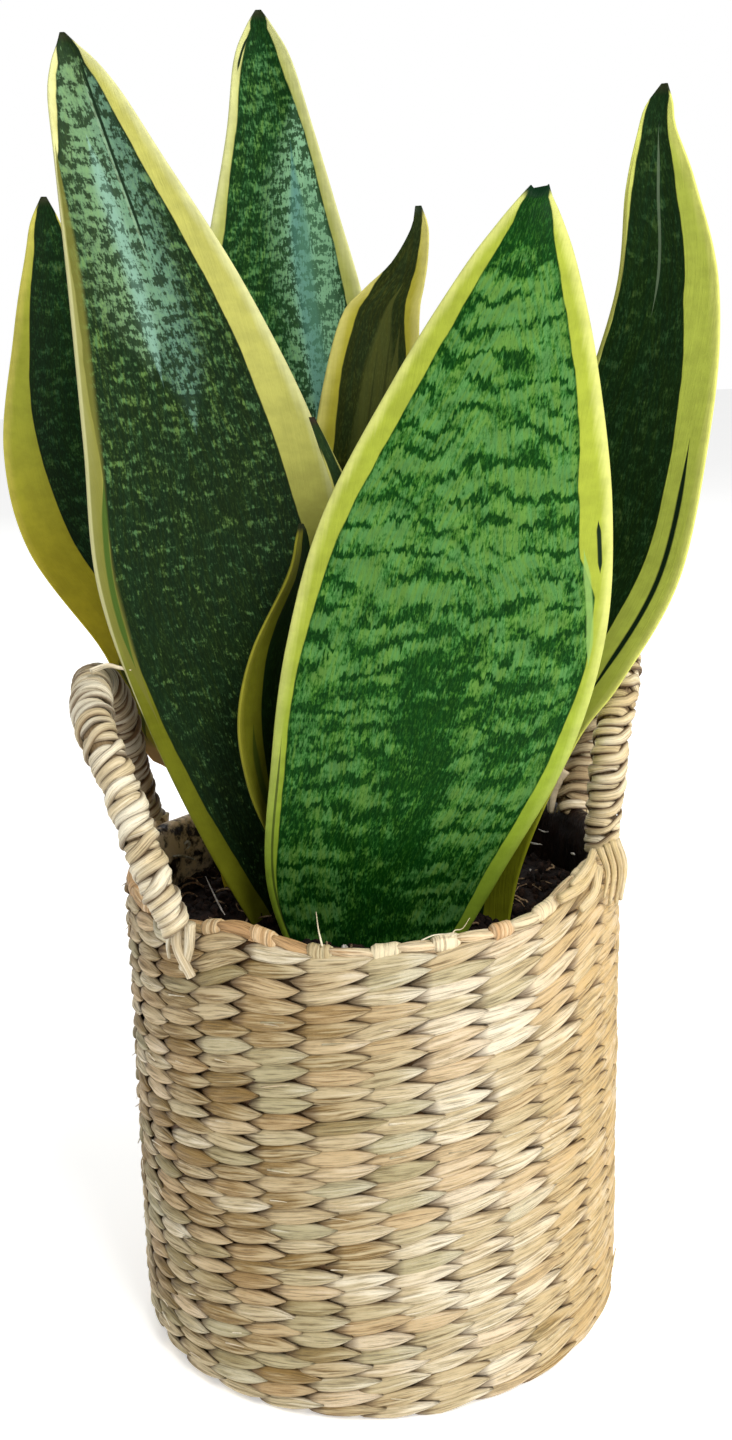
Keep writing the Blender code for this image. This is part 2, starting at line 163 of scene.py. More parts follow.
# Drifts along the cord: over how many points, and how much
TURN_DRIFT = (34, 0.16)
RISE_DRIFT = (6, 0.13)
SHIFT_DRIFT = (8, 0.2)
WIDTH_DRIFT = (7, 0.15)
FACING_DRIFT = (7, 0.3)
TONE_DRIFT = (11, 0.26)
CROSSING_SPAN = 50

# Leaves: level slices of height, x, y and width, as the CAD model has them, with a turn for each slice
# where the leaf twists. The body is the green middle: each row of left and right gives a height and
# where the body ends, from -1 to 1. A crease has a low and a high height, its place at both, and a depth.
LEAVES = {
    "leaf_front": dict(
        cup=-0.12, thick=4.2, turn=-4,
        stations=((114, 1, -22, 44), (145, 5.5, -31, 67), (180, 16.5, -38, 82), (215, 24.5, -43, 85.5),
                  (250, 31, -46, 75.5), (285, 39.5, -46, 51.5), (310, 46, -43, 29.5), (322, 49.3, -41, 16),
                  (328, 51, -39, 8), (331, 52.2, -38, 4.2)),
        left=((114, -0.95), (127, -0.94), (156, -0.9), (189, -0.91), (209, -0.91), (224, -0.88),
              (241, -0.85), (253, -0.82), (265, -0.78), (290, -0.71), (310, -0.62), (322, -0.55),
              (329, -0.75), (332, -1.3)),
        right=((114, 0.84), (150, 0.86), (186, 0.88), (206, 0.92), (227, 0.9), (237, 0.79), (256, 0.77),
               (271, 0.79), (285, 0.78), (303, 0.72), (318, 0.66), (328, 0.8), (332, 1.3))),
    "leaf_left_broad": dict(
        cup=0.2, thick=4.2, turn=8, crease=(310, 373, 0.08, 0.2, 0.9),
        stations=((114, -8, -1, 42), (150, -15, -2, 62), (190, -25.5, -4, 71), (230, -35, -6, 73),
                  (270, -40, -8, 64), (310, -49, -10, 47), (345, -59.5, -12, 27.5), (360, -64, -13, 19),
                  (368, -66.2, -13.5, 11.5), (372.5, -67.6, -14, 4.8), (375.5, -68.6, -14, 0.8)),
        left=((114, -0.7), (163, -0.85), (190, -0.89), (220, -0.88), (243, -0.86), (265, -0.88),
              (285, -0.92), (300, -0.93), (320, -0.95), (335, -0.97), (343, -0.98), (350, -0.87),
              (361, -0.8), (369, -0.74), (375, -1.3)),
        right=((114, 0.86), (200, 0.74), (247, 0.66), (277, 0.62), (290, 0.63), (307, 0.62), (335, 0.58),
               (350, 0.56), (363, 0.53), (369, 0.5), (375, 1.3))),
    "leaf_back": dict(
        cup=0.25, thick=3.8, turn=0,
        stations=((114, -2, 19, 32), (170, -8, 29, 48), (230, -13, 36, 58), (280, -16, 41, 57),
                  (310, -17.8, 43, 48), (330, -18, 44, 38), (355, -18.3, 44, 25.5), (375, -19.5, 43, 16.5),
                  (384, -20, 43, 8), (389, -20, 42, 1.2)),
        left=((114, -0.85), (250, -0.82), (323, -0.79), (347, -0.83), (369, -0.79), (384, -0.66),
              (389, -1.3)),
        right=((114, 0.85), (250, 0.82), (306, 0.8), (316, 0.82), (336, 0.82), (357, 0.79), (375, 0.62),
               (384, 0.6), (389, 1.3))),
    "leaf_left_far": dict(
        cup=0.15, thick=3.6,
        stations=((114, -30, 18, 24, 30), (150, -35, 33.5, 38, 36), (163.8, -43.4, 42, 41.6, 35),
                  (167.4, -47, 44, 47, 33), (174.8, -51, 47.4, 48, 32), (184, -53.6, 50.4, 45.6, 33.5),
                  (194, -58.2, 50.8, 47.4, 36), (205, -62.2, 50, 50.4, 39.5), (235, -81, 50.5, 52, 40),
                  (265, -87.2, 48.5, 47, 40), (300, -87, 45, 30, 36), (322, -87, 42, 15, 30),
                  (332, -87, 41, 9, 30), (339.5, -86.5, 40, 1.2, 30)),
        left=((114, -0.6), (190, -0.25), (240, -0.32), (255, -0.38), (268, -0.47), (289, -0.61),
              (313, -0.68), (326, -0.68), (334, -0.8), (339.5, -1.3)),
        right=((114, 0.7), (200, 0.75), (260, 0.75), (321, 0.82), (334, 0.95), (339.5, 1.3))),
    "leaf_middle": dict(
        cup=0.3, thick=3.4, turn=-15,
        stations=((114, 12, 9, 22), (160, 6, 11, 30), (205, 3, 11, 33), (245, 4, 9, 31), (275, 8, 6, 29),
                  (300, 12, 5, 22.5), (308, 16, 4.5, 17), (315, 20.5, 4, 10), (324, 23.5, 4, 4.5),
                  (330, 23.2, 4, 1.2)),
        left=((114, -0.8), (240, -0.66), (266, -0.64), (287, -0.72), (298, -0.66), (306, -0.7),
              (312, -0.95), (316, -1.3)),
        right=((114, 0.8), (260, 0.74), (289, 0.71), (306, 0.56), (315, 0.42), (325, 0.2), (330, 1.3))),
    "leaf_right": dict(
        cup=0.15, thick=3.8, crease=(255, 348, -0.35, 0.1, 0.5),
        stations=((114, 30, -6, 26, -30), (145, 33, -8, 36, -36), (182, 46.5, -11, 44, -41),
                  (200, 58, -13, 47, -43), (230, 73.7, -16, 49, -45), (270, 82.5, -20, 44, -45),
                  (305, 88, -23, 30.5, -42), (330, 85.5, -25, 19.5, -36), (344, 84, -26, 10, -30),
                  (350, 84.3, -27, 7, -30), (355, 85.3, -28, 1.2, -30)),
        left=((114, -0.8), (240, -0.88), (282, -0.93), (312, -0.95), (339, -0.8), (350, -0.9), (355, -1.3)),
        right=((114, 0.4), (216, 0.38), (227, 0.4), (243, 0.45), (264, 0.46), (282, 0.42), (302, 0.3),
               (312, 0.32), (330, 0.4), (343, 0.55), (350, 0.7), (355, 1.3))),
    "leaf_inner": dict(
        cup=0.2, thick=2.8, turn=50,
        stations=((114, -15, -11, 12), (140, -18.5, -13, 14), (155, -21.5, -14, 17), (172, -25, -15, 24),
                  (192, -26, -18, 26), (212, -23, -20, 18), (232, -14.5, -20, 9), (242, -12.8, -20, 4.5),
                  (246, -12.6, -20, 1.2)),
        left=((114, -0.3), (150, -0.15), (177, -0.12), (214, -0.1), (235, -0.1), (246, 0.2)),
        right=((114, 0.8), (200, 0.8), (235, 0.85), (246, 1.3))),
    "leaf_young": dict(
        cup=0.35, thick=2.8,
        stations=((114, 3, -13.5, 9, 10), (160, 7, -20, 12, 15), (200, 7, -25, 12, 20),
                  (235, 3, -26, 9, 30), (254, -1, -25, 5, 30), (266, -5, -24, 3, 30),
                  (275, -8.3, -24, 1.2, 30)),
        left=((114, -0.6), (230, -0.5), (262, -0.9), (275, -1.3)),
        right=((114, 0.6), (230, 0.5), (262, 0.9), (275, 1.3))),
}
LEAF_EDGE = 0.9
LEAF_THICKNESS_SHARE = 0.3
LEAF_ROW_STEP = 2.2
LEAF_ACROSS = 40
LEAF_LEAST_WIDTH = 0.8
LEAF_RIPPLE = 0.45
# How long a ripple is on the leaf's right and left side
RIPPLE_LENGTHS = (13.0, 11.0)
# The front leaf's tip is split: how deep, and between which heights it starts
FRONT_NOTCH = 1.6
FRONT_NOTCH_HEIGHTS = (326.0, 330.5)
LEAF_SEED = 16
MARKS_SEED_FIRST = 3.1
MARKS_SEED_STEP = 7.3
LEAF_BUMP = 0.00012


def shade(red, green, blue):
    """A colour as a screen shows it, 0 to 255, in the linear values that the shaders take."""
    levels = []
    for level in (red, green, blue):
        part = level / 255.0
        levels.append(part / 12.92 if part <= 0.04045 else ((part + 0.055) / 1.055) ** 2.4)
    return (*levels, 1.0)


# Meshes


class Pile:
    """Points, faces and values for the points, gathered until they become one mesh."""

    def __init__(self):
        self.points = []
        self.faces = []
        self.values = {}
        self.count = 0

    def add(self, points, faces, **values):
        """Points as rows of x, y and z, in a grid or a list, with the same shape for each value."""
        points = np.asarray(points, float)
        for face in faces:
            self.faces.append(tuple(int(corner) + self.count for corner in face))
        self.points.append(points.reshape(-1, 3))
        for name, rows in values.items():
            self.values.setdefault(name, []).append(np.broadcast_to(rows, points.shape).reshape(-1, 3))
        self.count += points.size // 3

    def piece(self, name, material, replaced=()):
        """The mesh as a piece of the visual model, riding on the CAD model's one body."""
        mesh = bpy.data.meshes.new(name)
        mesh.from_pydata((np.concatenate(self.points) * MM).tolist(), [], self.faces)
        for value, rows in self.values.items():
            layer = mesh.attributes.new(value, "FLOAT_VECTOR", "POINT")
            layer.data.foreach_set("vector", np.concatenate(rows).astype(np.float32).ravel())
        builder = bmesh.new()
        builder.from_mesh(mesh)
        bmesh.ops.recalc_face_normals(builder, faces=builder.faces)
        builder.to_mesh(mesh)
        builder.free()
        mesh.shade_smooth()
        mesh.materials.append(material)
        obj = bpy.data.objects.new(name, mesh)
        bpy.context.scene.collection.objects.link(obj)
        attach(obj, "root")
        if replaced:
            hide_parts(*replaced)


def grid_faces(rows, columns, around=False):
    """Faces between rows of points. With around, each row's end meets its start."""
    index = np.arange(rows * columns).reshape(rows, columns)
    if around:
        index = np.concatenate([index, index[:, :1]], axis=1)
    corners = (index[:-1, :-1], index[:-1, 1:], index[1:, 1:], index[1:, :-1])
    return np.stack(corners, axis=-1).reshape(-1, 4).tolist()


def tube_faces(rows, columns):
    """The faces of a tube with flat ends."""
    faces = grid_faces(rows, columns, around=True)
    last = (rows - 1) * columns
    faces.append(list(range(columns)))
    faces.append(list(range(last + columns - 1, last - 1, -1)))
    return faces


def triple(points, first, second=0.0, third=0.0):
    """Three values for each of the points, for one of the mesh's attributes."""
    parts = (first, second, third)
    return np.stack([np.broadcast_to(part, points.shape[:-1]) for part in parts], axis=-1)


def turns(count):
    """Angles spaced evenly round a circle."""
    return 2.0 * math.pi * np.arange(count) / count


def smooth_step(values, low, high):
    """0 up to low, 1 from high on, and a soft rise between them."""
    part = np.clip((np.asarray(values, float) - low) / (high - low), 0.0, 1.0)
    return part * part * (3.0 - 2.0 * part)


def hump(away, half_width):
    """1 in the middle, falling off softly to both sides."""
    return np.exp(-((away / half_width) ** 2))


def smooth_line(points, steps):
    """One smooth curve through the points. steps is a number for each span."""
    points = np.asarray(points, float)
    ends = np.vstack([2.0 * points[0] - points[1], points, 2.0 * points[-1] - points[-2]])
    found = []
    for span in range(len(points) - 1):
        before, start, end, after = ends[span:span + 4]
        for t in np.arange(steps[span]) / steps[span]:
            found.append(0.5 * (
                2.0 * start
                + (end - before) * t
                + (2.0 * before - 5.0 * start + 4.0 * end - after) * t**2
                + (3.0 * start - 3.0 * end + after - before) * t**3
            ))
    return np.array([*found, points[-1]])


def lengths_along(points):
    """How far along the line each point is."""
    return np.concatenate([[0.0], np.cumsum(np.linalg.norm(np.diff(points, axis=0), axis=1))])


def spaced(points, step):
    """Points a fixed step apart along a line."""
    lengths = lengths_along(points)
    count = max(2, int(round(lengths[-1] / step)))
    along = np.linspace(0.0, lengths[-1], count + 1)
    return np.stack([np.interp(along, lengths, points[:, k]) for k in range(3)], axis=-1)


def unit(rows):
    """Each row scaled to a length of 1."""
    return rows / np.linalg.norm(rows, axis=-1, keepdims=True)


def frames_along(points):
    """The direction at each point and two crossways ones that turn as little as they can."""
    ahead = unit(np.gradient(points, axis=0))
    start = np.cross(ahead[0], (0.0, 0.0, 1.0))
    if np.linalg.norm(start) < 0.1:
        start = np.cross(ahead[0], (1.0, 0.0, 0.0))
    aside = [start / np.linalg.norm(start)]
    for way in ahead[1:]:
        turned = aside[-1] - way * np.dot(aside[-1], way)
        aside.append(turned / np.linalg.norm(turned))
    aside = np.array(aside)
    return ahead, aside, np.cross(ahead, aside)


def add_strand(pile, points, radii, tone, seed, sides=7, flat=1.0, facing=None, edge=0.0, fold=0.0):
    """A strand along the points. flat under 1 presses it thin in the facing direction, fold presses
    a groove along its middle, and edge paints shade on its two sides."""
    points = np.asarray(points, float)
    radii = np.broadcast_to(radii, len(points))
    ahead, aside, across = frames_along(points)
    if facing is not None:
        facing = np.broadcast_to(facing, points.shape)
        across = unit(facing - ahead * (facing * ahead).sum(axis=1, keepdims=True))
        aside = np.cross(across, ahead)
    turn = turns(sides)
    crown = flat * np.sin(turn) * (1.0 - fold * hump(np.cos(turn), 0.4))
    ring = aside[:, None] * np.cos(turn)[None, :, None] + across[:, None] * crown[None, :, None]
    places = points[:, None] + ring * radii[:, None, None]
    grain = triple(places, lengths_along(points)[:, None], radii.mean() * np.abs(turn - math.pi), seed)
    # The tone's third value is painted shade, with more of it on the strand's sides.
    dark, warm, painted_shade = np.broadcast_to(tone, (len(points), 3)).T[:, :, None]
    tone = triple(places, dark, warm, painted_shade + edge * np.abs(np.cos(turn)) ** 3)
    pile.add(places, tube_faces(len(points), sides), grain=grain, tone=tone)


# The basket's own shape


def degrees_from(degrees, centre):
    """How far a direction is from a centre one, from -180 to 180."""
    return (degrees - centre + 180.0) % 360.0 - 180.0


def rim_rise(angle):
    """How far the rim stands above its plain level: most at the handles' feet."""
    degrees = np.degrees(angle) % 360.0
    rise = np.zeros_like(degrees)
    for centre, height, half_width in RIM_RISES:
        rise += height * hump(degrees_from(degrees, centre), half_width)
    return rise


def settled(angle, radius, height):
    """A point of the plain round basket, moved by the rim's rise and the basket's lean."""
    angle, radius, height = np.broadcast_arrays(angle, radius, height)
    high = height + smooth_step(height, RISE_STARTS, BASKET_TALL) * rim_rise(angle)
    x = radius * np.cos(angle) + LEAN * height / BASKET_TALL
    return np.stack([x, radius * np.sin(angle), high], axis=-1)


def towards(angle, degrees, low, high):
    """0 to 1: how far an angle points towards a direction, by the cosine between them."""
    return smooth_step(np.cos(angle - math.radians(degrees)), low, high)


def warmth(angle):
    """More golden towards the right of the basket."""
    return towards(angle, 356.0, 0.45, 1.0)


def painted_light_and_shade(angle):
    """Painted light on the straw: a painted highlight in front, a little to the right, and painted shade on
    the left.
    """
    return 0.22 * hump(degrees_from(np.degrees(angle), 284.0), 16.0) - 0.3 * towards(angle, 205.0, 0.1, 0.9)


# Stitches of the weave


def add_stitches(pile, spots, place, rng):
    """Lens-shaped stitches. spots is a list of (angle, row, pitch, radius) and place turns an angle,
    a distance up and a distance out, for a row, into a point."""
    long = np.linspace(-1.0, 1.0, STITCH_POINTS_LONG)[:, None]
    front = np.linspace(-1.0, 1.0, STITCH_POINTS_ACROSS)
    across = np.concatenate([front, STITCH_BACK])[None]
    is_back = np.arange(across.shape[1])[None] >= len(front)
    faces = tube_faces(STITCH_POINTS_LONG, across.shape[1])
    ahead, behind = ((1.0 - np.abs(long) ** power) ** root for power, root in (LENS_AHEAD, LENS_BEHIND))
    lens = np.where(long > 0.0, ahead, behind)
    for angle, row, pitch, radius in spots:
        half_long = 0.5 * STITCH_LONG * pitch * rng.normal(1.0, SIZE_SPREAD)
        half_tall = STITCH_HALF_TALL * rng.normal(1.0, SIZE_SPREAD)
        slope = math.tan(math.radians(STITCH_SLOPE + rng.normal(0.0, SLOPE_SPREAD)))
        sway = rng.normal(0.0, SWAY_SPREAD)
        lift = rng.normal(0.0, LIFT_SPREAD)
        drop = rng.normal(0.0, DROP_SPREAD)
        fold = rng.uniform(-0.6, 0.6)
        depth = rng.uniform(0.1, 0.45)
        twist = rng.uniform(-1.2, 1.2)
        phase = rng.uniform(0.0, 6.28)
        seed = rng.uniform(0.0, 90.0)
        spread = 0.21 - 0.09 * float(warmth(angle))
        base_tone = float(np.clip(rng.normal(0.54, spread), *STITCH_TONES))
        # Each stitch pales towards its leading tip by a chance amount: partly the straw's own bleaching,
        # partly a painted highlight on the raised tip.
        pale = rng.uniform(0.0, 0.35)
        up = slope * long * half_long + sway * np.sin(math.pi * long) + drop
        up = up + across * half_tall * lens
        swell = STITCH_SWELL * (1.0 - long**2)
        swell = swell + STITCH_TILT * long * (1.0 - 0.3 * max(0.0, -math.cos(angle)))
        swell = swell + 0.45 * smooth_step(long, 0.3, 0.95) - 0.2 * smooth_step(-long, 0.8, 1.0)
        crown = STITCH_CROWN * (0.2 + 0.8 * lens) * (1.0 - across**2)
        groove = depth * hump(across - fold - 0.35 * long, 0.2) * lens
        groove = groove + 0.1 * lens * np.sin(6.5 * across + twist * long + phase)
        out = swell + lift + np.where(is_back, -1.0, crown - groove - 0.35 * across**2)
        around = angle + long * half_long / radius + 0.0 * across
        warm = warmth(around)
        # Painted shade: under the previous column's tip at each stitch's start, in a thin line along its
        # upper and lower edges, both more so on the right, and over all of its back.
        tuck_shadow = smooth_step(-long, 0.42, 0.76) * (0.8 + 0.2 * warm)
        painted_shade = np.maximum(np.abs(across) ** 8 * (0.75 + 0.3 * warm), tuck_shadow)
        # The shown tone carries painted light: a painted highlight in front and painted shade on the left.
        shown = base_tone + painted_light_and_shade(around) + pale * smooth_step(long, 0.0, 0.9)
        points = place(around, up, out, row)
        pile.add(points, faces, grain=triple(points, long * half_long, across * half_tall, seed),
                 tone=triple(points, shown, warm, np.where(is_back, 1.0, painted_shade)))


def wall_spots(first, last, rng):
    """The columns of stitches lean, more so towards the bottom."""
    spots = []
    for row in range(first, last):
        leaning = 0.18 + COLUMN_LEAN * max(0.0, LEAN_BELOW_ROW - row) ** 2
        for column in range(COLUMNS):
            turn = (column + leaning + rng.normal(0.0, COLUMN_SPREAD) + 0.05 * math.sin(row * 0.7)) / COLUMNS
            spots.append((2.0 * math.pi * turn, row, 1.0, STITCH_RADIUS))
    return spots


def row_height(row):
    """How high a row's middle line is."""
    return FIRST_ROW + (LAST_ROW - FIRST_ROW) * row / (ROWS - 1)


def wall_place(around, up, out, row):
    """A stitch's point on the wall, which tucks in at the foot."""
    height = row_height(row) + up
    tuck = FOOT_TUCK * (1.0 - smooth_step(height, 0.0, FOOT_TUCK_HEIGHT))
    return settled(around, STITCH_RADIUS - tuck + out, np.maximum(height, 0.3))


def base_spots():
    """Rings of stitches under the basket."""
    spots = []
    for row in range(1, BASE_ROWS):
        radius = row * STITCH_RADIUS / BASE_ROWS
        count = max(6, round(2.0 * math.pi * radius / COLUMN_PITCH))
        pitch = 2.0 * math.pi * radius / count / COLUMN_PITCH
        for k in range(count):
            spots.append((2.0 * math.pi * (k + 0.37 * row) / count, row, pitch, radius))
    return spots


def base_place(around, up, out, row):
    """A stitch's point on the underside, where up goes outwards."""
    radius = row * STITCH_RADIUS / BASE_ROWS + up
    low = np.maximum(BASE_STITCH_HEIGHT - out, LEAST_HEIGHT)
    return np.stack([radius * np.cos(around), radius * np.sin(around), low], axis=-1)


def make_basket(straw, rng):
    """The wall in three pieces, and the base."""
    for part, first, last in WALL_PARTS:
        pile = Pile()
        add_stitches(pile, wall_spots(first, last, rng), wall_place, rng)
        pile.piece("basket_weave_" + part, straw)
    base = Pile()
    add_stitches(base, base_spots(), base_place, rng)
    base.piece("basket_base_weave", straw)


def make_backing(material):
    """The stakes and the inner side of the weave, painted dark as the shade between the stitches, as one thin
    shell with a floor.
    """
    top = BASKET_TALL - 4.0
    heights = (60.0, 110.0, top)
    profile = [(0.05, FLOOR_TOP), (WALL_INSIDE, FLOOR_TOP)]
    profile += [(WALL_INSIDE, height) for height in heights]
    profile += [(WALL_BEHIND, height) for height in reversed(heights)]
    profile += [(WALL_BEHIND, 4.0), (WALL_BEHIND - 2.0, FLOOR_UNDER), (0.05, FLOOR_UNDER)]
    angle = turns(4 * COLUMNS)
    radius, height = np.array(profile).T[:, :, None]
    ribs = 0.35 * np.cos(COLUMNS * angle) * (np.abs(radius - WALL_BEHIND) < 0.1)
    points = settled(angle[None], radius + ribs, height)
    pile = Pile()
    pile.add(points, tube_faces(len(profile), len(angle)), grain=triple(points, height, angle * WALL_BEHIND),
             tone=WALL_TONE)
    pile.piece("basket_stakes", material, ("basket",))


# Border


def border_point(angle, out, up):
    """A point by the rim's middle line, which dips in front on the left."""
    dip = RIM_DIP * hump(degrees_from(np.degrees(angle), 264.0), 15.0)
    return settled(angle, BORDER_RADIUS + out, BORDER_HEIGHT - dip + up)


def rim_pale(angle):
    """Paler in front, on the right of the rim."""
    return 0.5 * towards(angle, 305.0, 0.4, 0.9)


def add_band(pile, angle, rng):
    """A short wrapping of fibres round the rim."""
    wide = BAND_WIDE * rng.normal(1.0, 0.1)
    along = np.linspace(-0.5, 0.5, BAND_ROWS)
    radius = 1.0 - 0.22 * (np.abs(along) > 0.49)
    radius = radius * (1.0 + 0.03 * rng.normal(size=BAND_ROWS))
    turn = turns(BAND_SIDES)
    around = angle + wide * along / BORDER_RADIUS
    out = BAND_OUT * np.cos(turn)[None] * radius[:, None]
    up = BORDER_TUBE * np.sin(turn)[None] * radius[:, None]
    points = border_point(around[:, None], out, up)
    grain = triple(points, BORDER_TUBE * np.abs(turn - math.pi), (wide * along)[:, None],
                   rng.uniform(0.0, 90.0))
    tone = np.clip(rng.normal(0.55, 0.15), 0.0, 1.0) + rim_pale(angle)
    pile.add(points, tube_faces(BAND_ROWS, BAND_SIDES), grain=grain,
             tone=triple(points, tone, warmth(around)[:, None]))


def add_border_strips(pile, start, end, rng):
    """Strands that lie along the rim between two bands."""
    share = np.linspace(0.0, 1.0, 9)
    around = start + (end - start) * share
    thick = 0.62 + 0.38 * np.sin(math.pi * share)
    tone = float(np.clip(rng.normal(0.5, 0.18), 0.0, 1.0) + rim_pale(start))
    for out, first, last, radius in BORDER_STRANDS:
        up = first + (last - first) * share + rng.normal(0.0, 0.12)
        line = border_point(around, out, up)
        value = (tone + rng.normal(0.0, 0.06), float(warmth(start)), 0.1)
        add_strand(pile, line, radius * thick, value, rng.uniform(0.0, 90.0), sides=8)


def make_border(straw, rng):
    """The plaited rim: bands of fibres with strands between them."""
    pile = Pile()
    wandering = [column + 0.15 + rng.normal(0.0, 0.04) for column in range(COLUMNS)]
    angles = [2.0 * math.pi * column / COLUMNS for column in wandering]
    half = 0.5 * BAND_WIDE / BORDER_RADIUS
    overlap = 1.0 / BORDER_RADIUS
    for angle, after in zip(angles, [*angles[1:], angles[0] + 2.0 * math.pi]):
        add_band(pile, angle, rng)
        add_border_strips(pile, angle + half - overlap, after - half + overlap, rng)
    pile.piece("rim_border", straw, ("basket_border",))


# Handles


def wander(count, span, size, rng):
    """Random values, one for each point, that drift from one to the next over span points."""
    stops = rng.normal(0.0, size, count // span + 3)
    return np.interp(np.arange(count) / span, np.arange(len(stops)), stops)


def add_cord(pile, side, rng):
    """Two flat strands wound round the handle's core, side by side except where they cross."""
    is_left = side == "left"
    route = smooth_line(HANDLE_ROUTES[side], [12] * (len(HANDLE_ROUTES[side]) - 1))
    radii = np.array(HANDLE_RADII[side]).T
    pitch = TURN_PITCH[side]
    middle = spaced(route, pitch / POINTS_PER_TURN)
    _, aside, across = frames_along(middle)
    count = len(middle)
    share = np.arange(count) / count
    turn = 2.0 * math.pi * np.arange(count) / POINTS_PER_TURN + wander(count, *TURN_DRIFT, rng)
    outward = aside * np.cos(turn)[:, None] + across * np.sin(turn)[:, None]
    cord = middle + outward * (np.interp(share, *radii) - CORD_DEEP)[:, None]
    sideways = np.cross(unit(np.gradient(cord, axis=0)), outward)
    # Towards its far end the cord is painted darker and duller: painted shade on the back leg.
    behind = smooth_step(share, 0.52, 0.72)
    crossing = CROSSINGS_PER_TURN[side] * turn + CROSSING_START[side]
    crossing = crossing + wander(count, CROSSING_SPAN, CROSSING_WANDER[side], rng)
    for ply in range(2):
        phase = crossing + math.pi * ply
        rise = STRAND_OVER * np.sin(phase) + wander(count, *RISE_DRIFT, rng)
        swing = np.tanh(STRAND_SWING * np.cos(phase)) / math.tanh(STRAND_SWING)
        shift = STRAND_APART[side] * pitch * swing + wander(count, *SHIFT_DRIFT, rng)
        line = cord + outward * rise[:, None] + sideways * shift[:, None]
        wide = 1.0 + 0.12 * np.sin(phase) ** 2 + wander(count, *WIDTH_DRIFT, rng)
        wide = STRAND_HALF_WIDE * pitch * wide
        facing = outward + sideways * wander(count, *FACING_DRIFT, rng)[:, None]
        tone = CORD_TONE[side] + wander(count, *TONE_DRIFT, rng) - (0.1 if is_left else 0.45) * behind
        warm = np.full(count, 0.12 if is_left else 0.5) * (1.0 - behind)
        values = np.stack([tone, warm, (0.6 if is_left else 0.12) * behind], axis=-1)
        add_strand(pile, line, wide, values, 17.0 * ply + 5.0, sides=STRAND_SIDES, flat=STRAND_FLAT,
                   facing=facing, edge=CORD_SIDE_SHADE[side], fold=STRAND_FOLD)
    core = spaced(route, 3.0)
    inner = np.interp(np.linspace(0.0, 1.0, len(core)), *radii) - CORE_DEEP
    # The core is painted in deep shade, so that it shows dark between the strands.
    add_strand(pile, core, inner, (0.2, 0.3, 0.75), 3.0, sides=14)


def make_handle(side, material, rng):
    pile = Pile()
    add_cord(pile, side, rng)
    pile.piece("handle_" + side, material, ("handle_wrap_" + side, "handle_core_" + side))


def on_wall(degrees, height, radius):
    """A point by its direction from the basket's axis, which leans."""
    angle = math.radians(degrees)
    x = radius * math.cos(angle) + LEAN * height / BASKET_TALL
    return np.array([x, radius * math.sin(angle), height])


# Strand ends under the handles' feet: points as (direction in degrees, height, radius), then the
# strand's radius at its start and end, and how flat it is.
FOOT_STRANDS = (
    (((226.6, 145.5, 76.6), (227.2, 138.5, 78.2), (229.8, 130, 76.8)), 1.7, 1.5, 0.85),
    (((230, 145.5, 76.6), (229.4, 138, 76.8), (227.2, 131.6, 76.6)), 1.7, 1.4, 0.85),
    (((224, 141.5, 77), (222.6, 136.5, 76.6), (222, 132.6, 75.8)), 0.9, 0.6, 0.6),
    (((216, 141, 74.6), (219.5, 139.6, 76.6), (223.5, 139.2, 75.6)), 1.2, 2.2, 0.6),
    (((151, 147, 76.4), (150.6, 140, 77.2), (150, 131, 76.4)), 2.2, 1.4, 0.6),
    (((154, 146, 76.4), (155, 139, 77), (155.5, 130, 76.2)), 1.8, 1, 0.6),
    (((326, 154.5, 73.6), (320.5, 152.2, 75.2), (315.5, 149, 75)), 1.5, 1.2, 0.75),
    (((324.5, 151.5, 74.4), (318, 148.6, 76), (311.5, 146.8, 75)), 2, 1.5, 0.75),
    (((326.5, 150, 74.8), (322.5, 145, 76.4), (318, 141.5, 75.6)), 2, 1.2, 0.7),
    (((329, 154.5, 73.8), (327.6, 148.5, 77), (326.6, 141.6, 76.6)), 1.5, 0.5, 0.7),
    (((333, 154, 73.8), (330.6, 147.5, 77.2), (329.8, 138.5, 76.6)), 1.6, 0.7, 0.7),
    (((337, 153.5, 74), (334.8, 146.5, 77.2), (334.2, 136.5, 76.4)), 1.6, 0.7, 0.7),
    (((341, 152.5, 74), (339.5, 145.5, 77), (339.5, 135, 76)), 1.7, 0.9, 0.7),
    (((25, 149, 74.8), (25.5, 142, 77), (26, 132, 76.2)), 2, 1, 0.6),
    (((29.5, 149, 74.8), (29, 142, 77), (29, 133, 76.2)), 1.8, 1, 0.6),
)


def make_foot_strands(material, rng):
    """The ties that run from the handles' feet down the wall."""
    pile = Pile()
    for spots, first, last, flat in FOOT_STRANDS:
        line = smooth_line([on_wall(*spot) for spot in spots], [8] * (len(spots) - 1))
        radii = first + (last - first) * np.linspace(0.0, 1.0, len(line))
        facing = unit(line * (1.0, 1.0, 0.0))
        warm = float(warmth(math.radians(spots[0][0])))
        tone = (float(np.clip(rng.normal(0.62, 0.12), 0.0, 1.0)), warm, 0.1)
        add_strand(pile, line, radii, tone, rng.uniform(0.0, 90.0), sides=10, flat=flat, facing=facing)
    ties = ["handle_tie_" + side + end for side in ("left", "right") for end in ("_front", "_back")]
    pile.piece("foot_strands", material, ties)


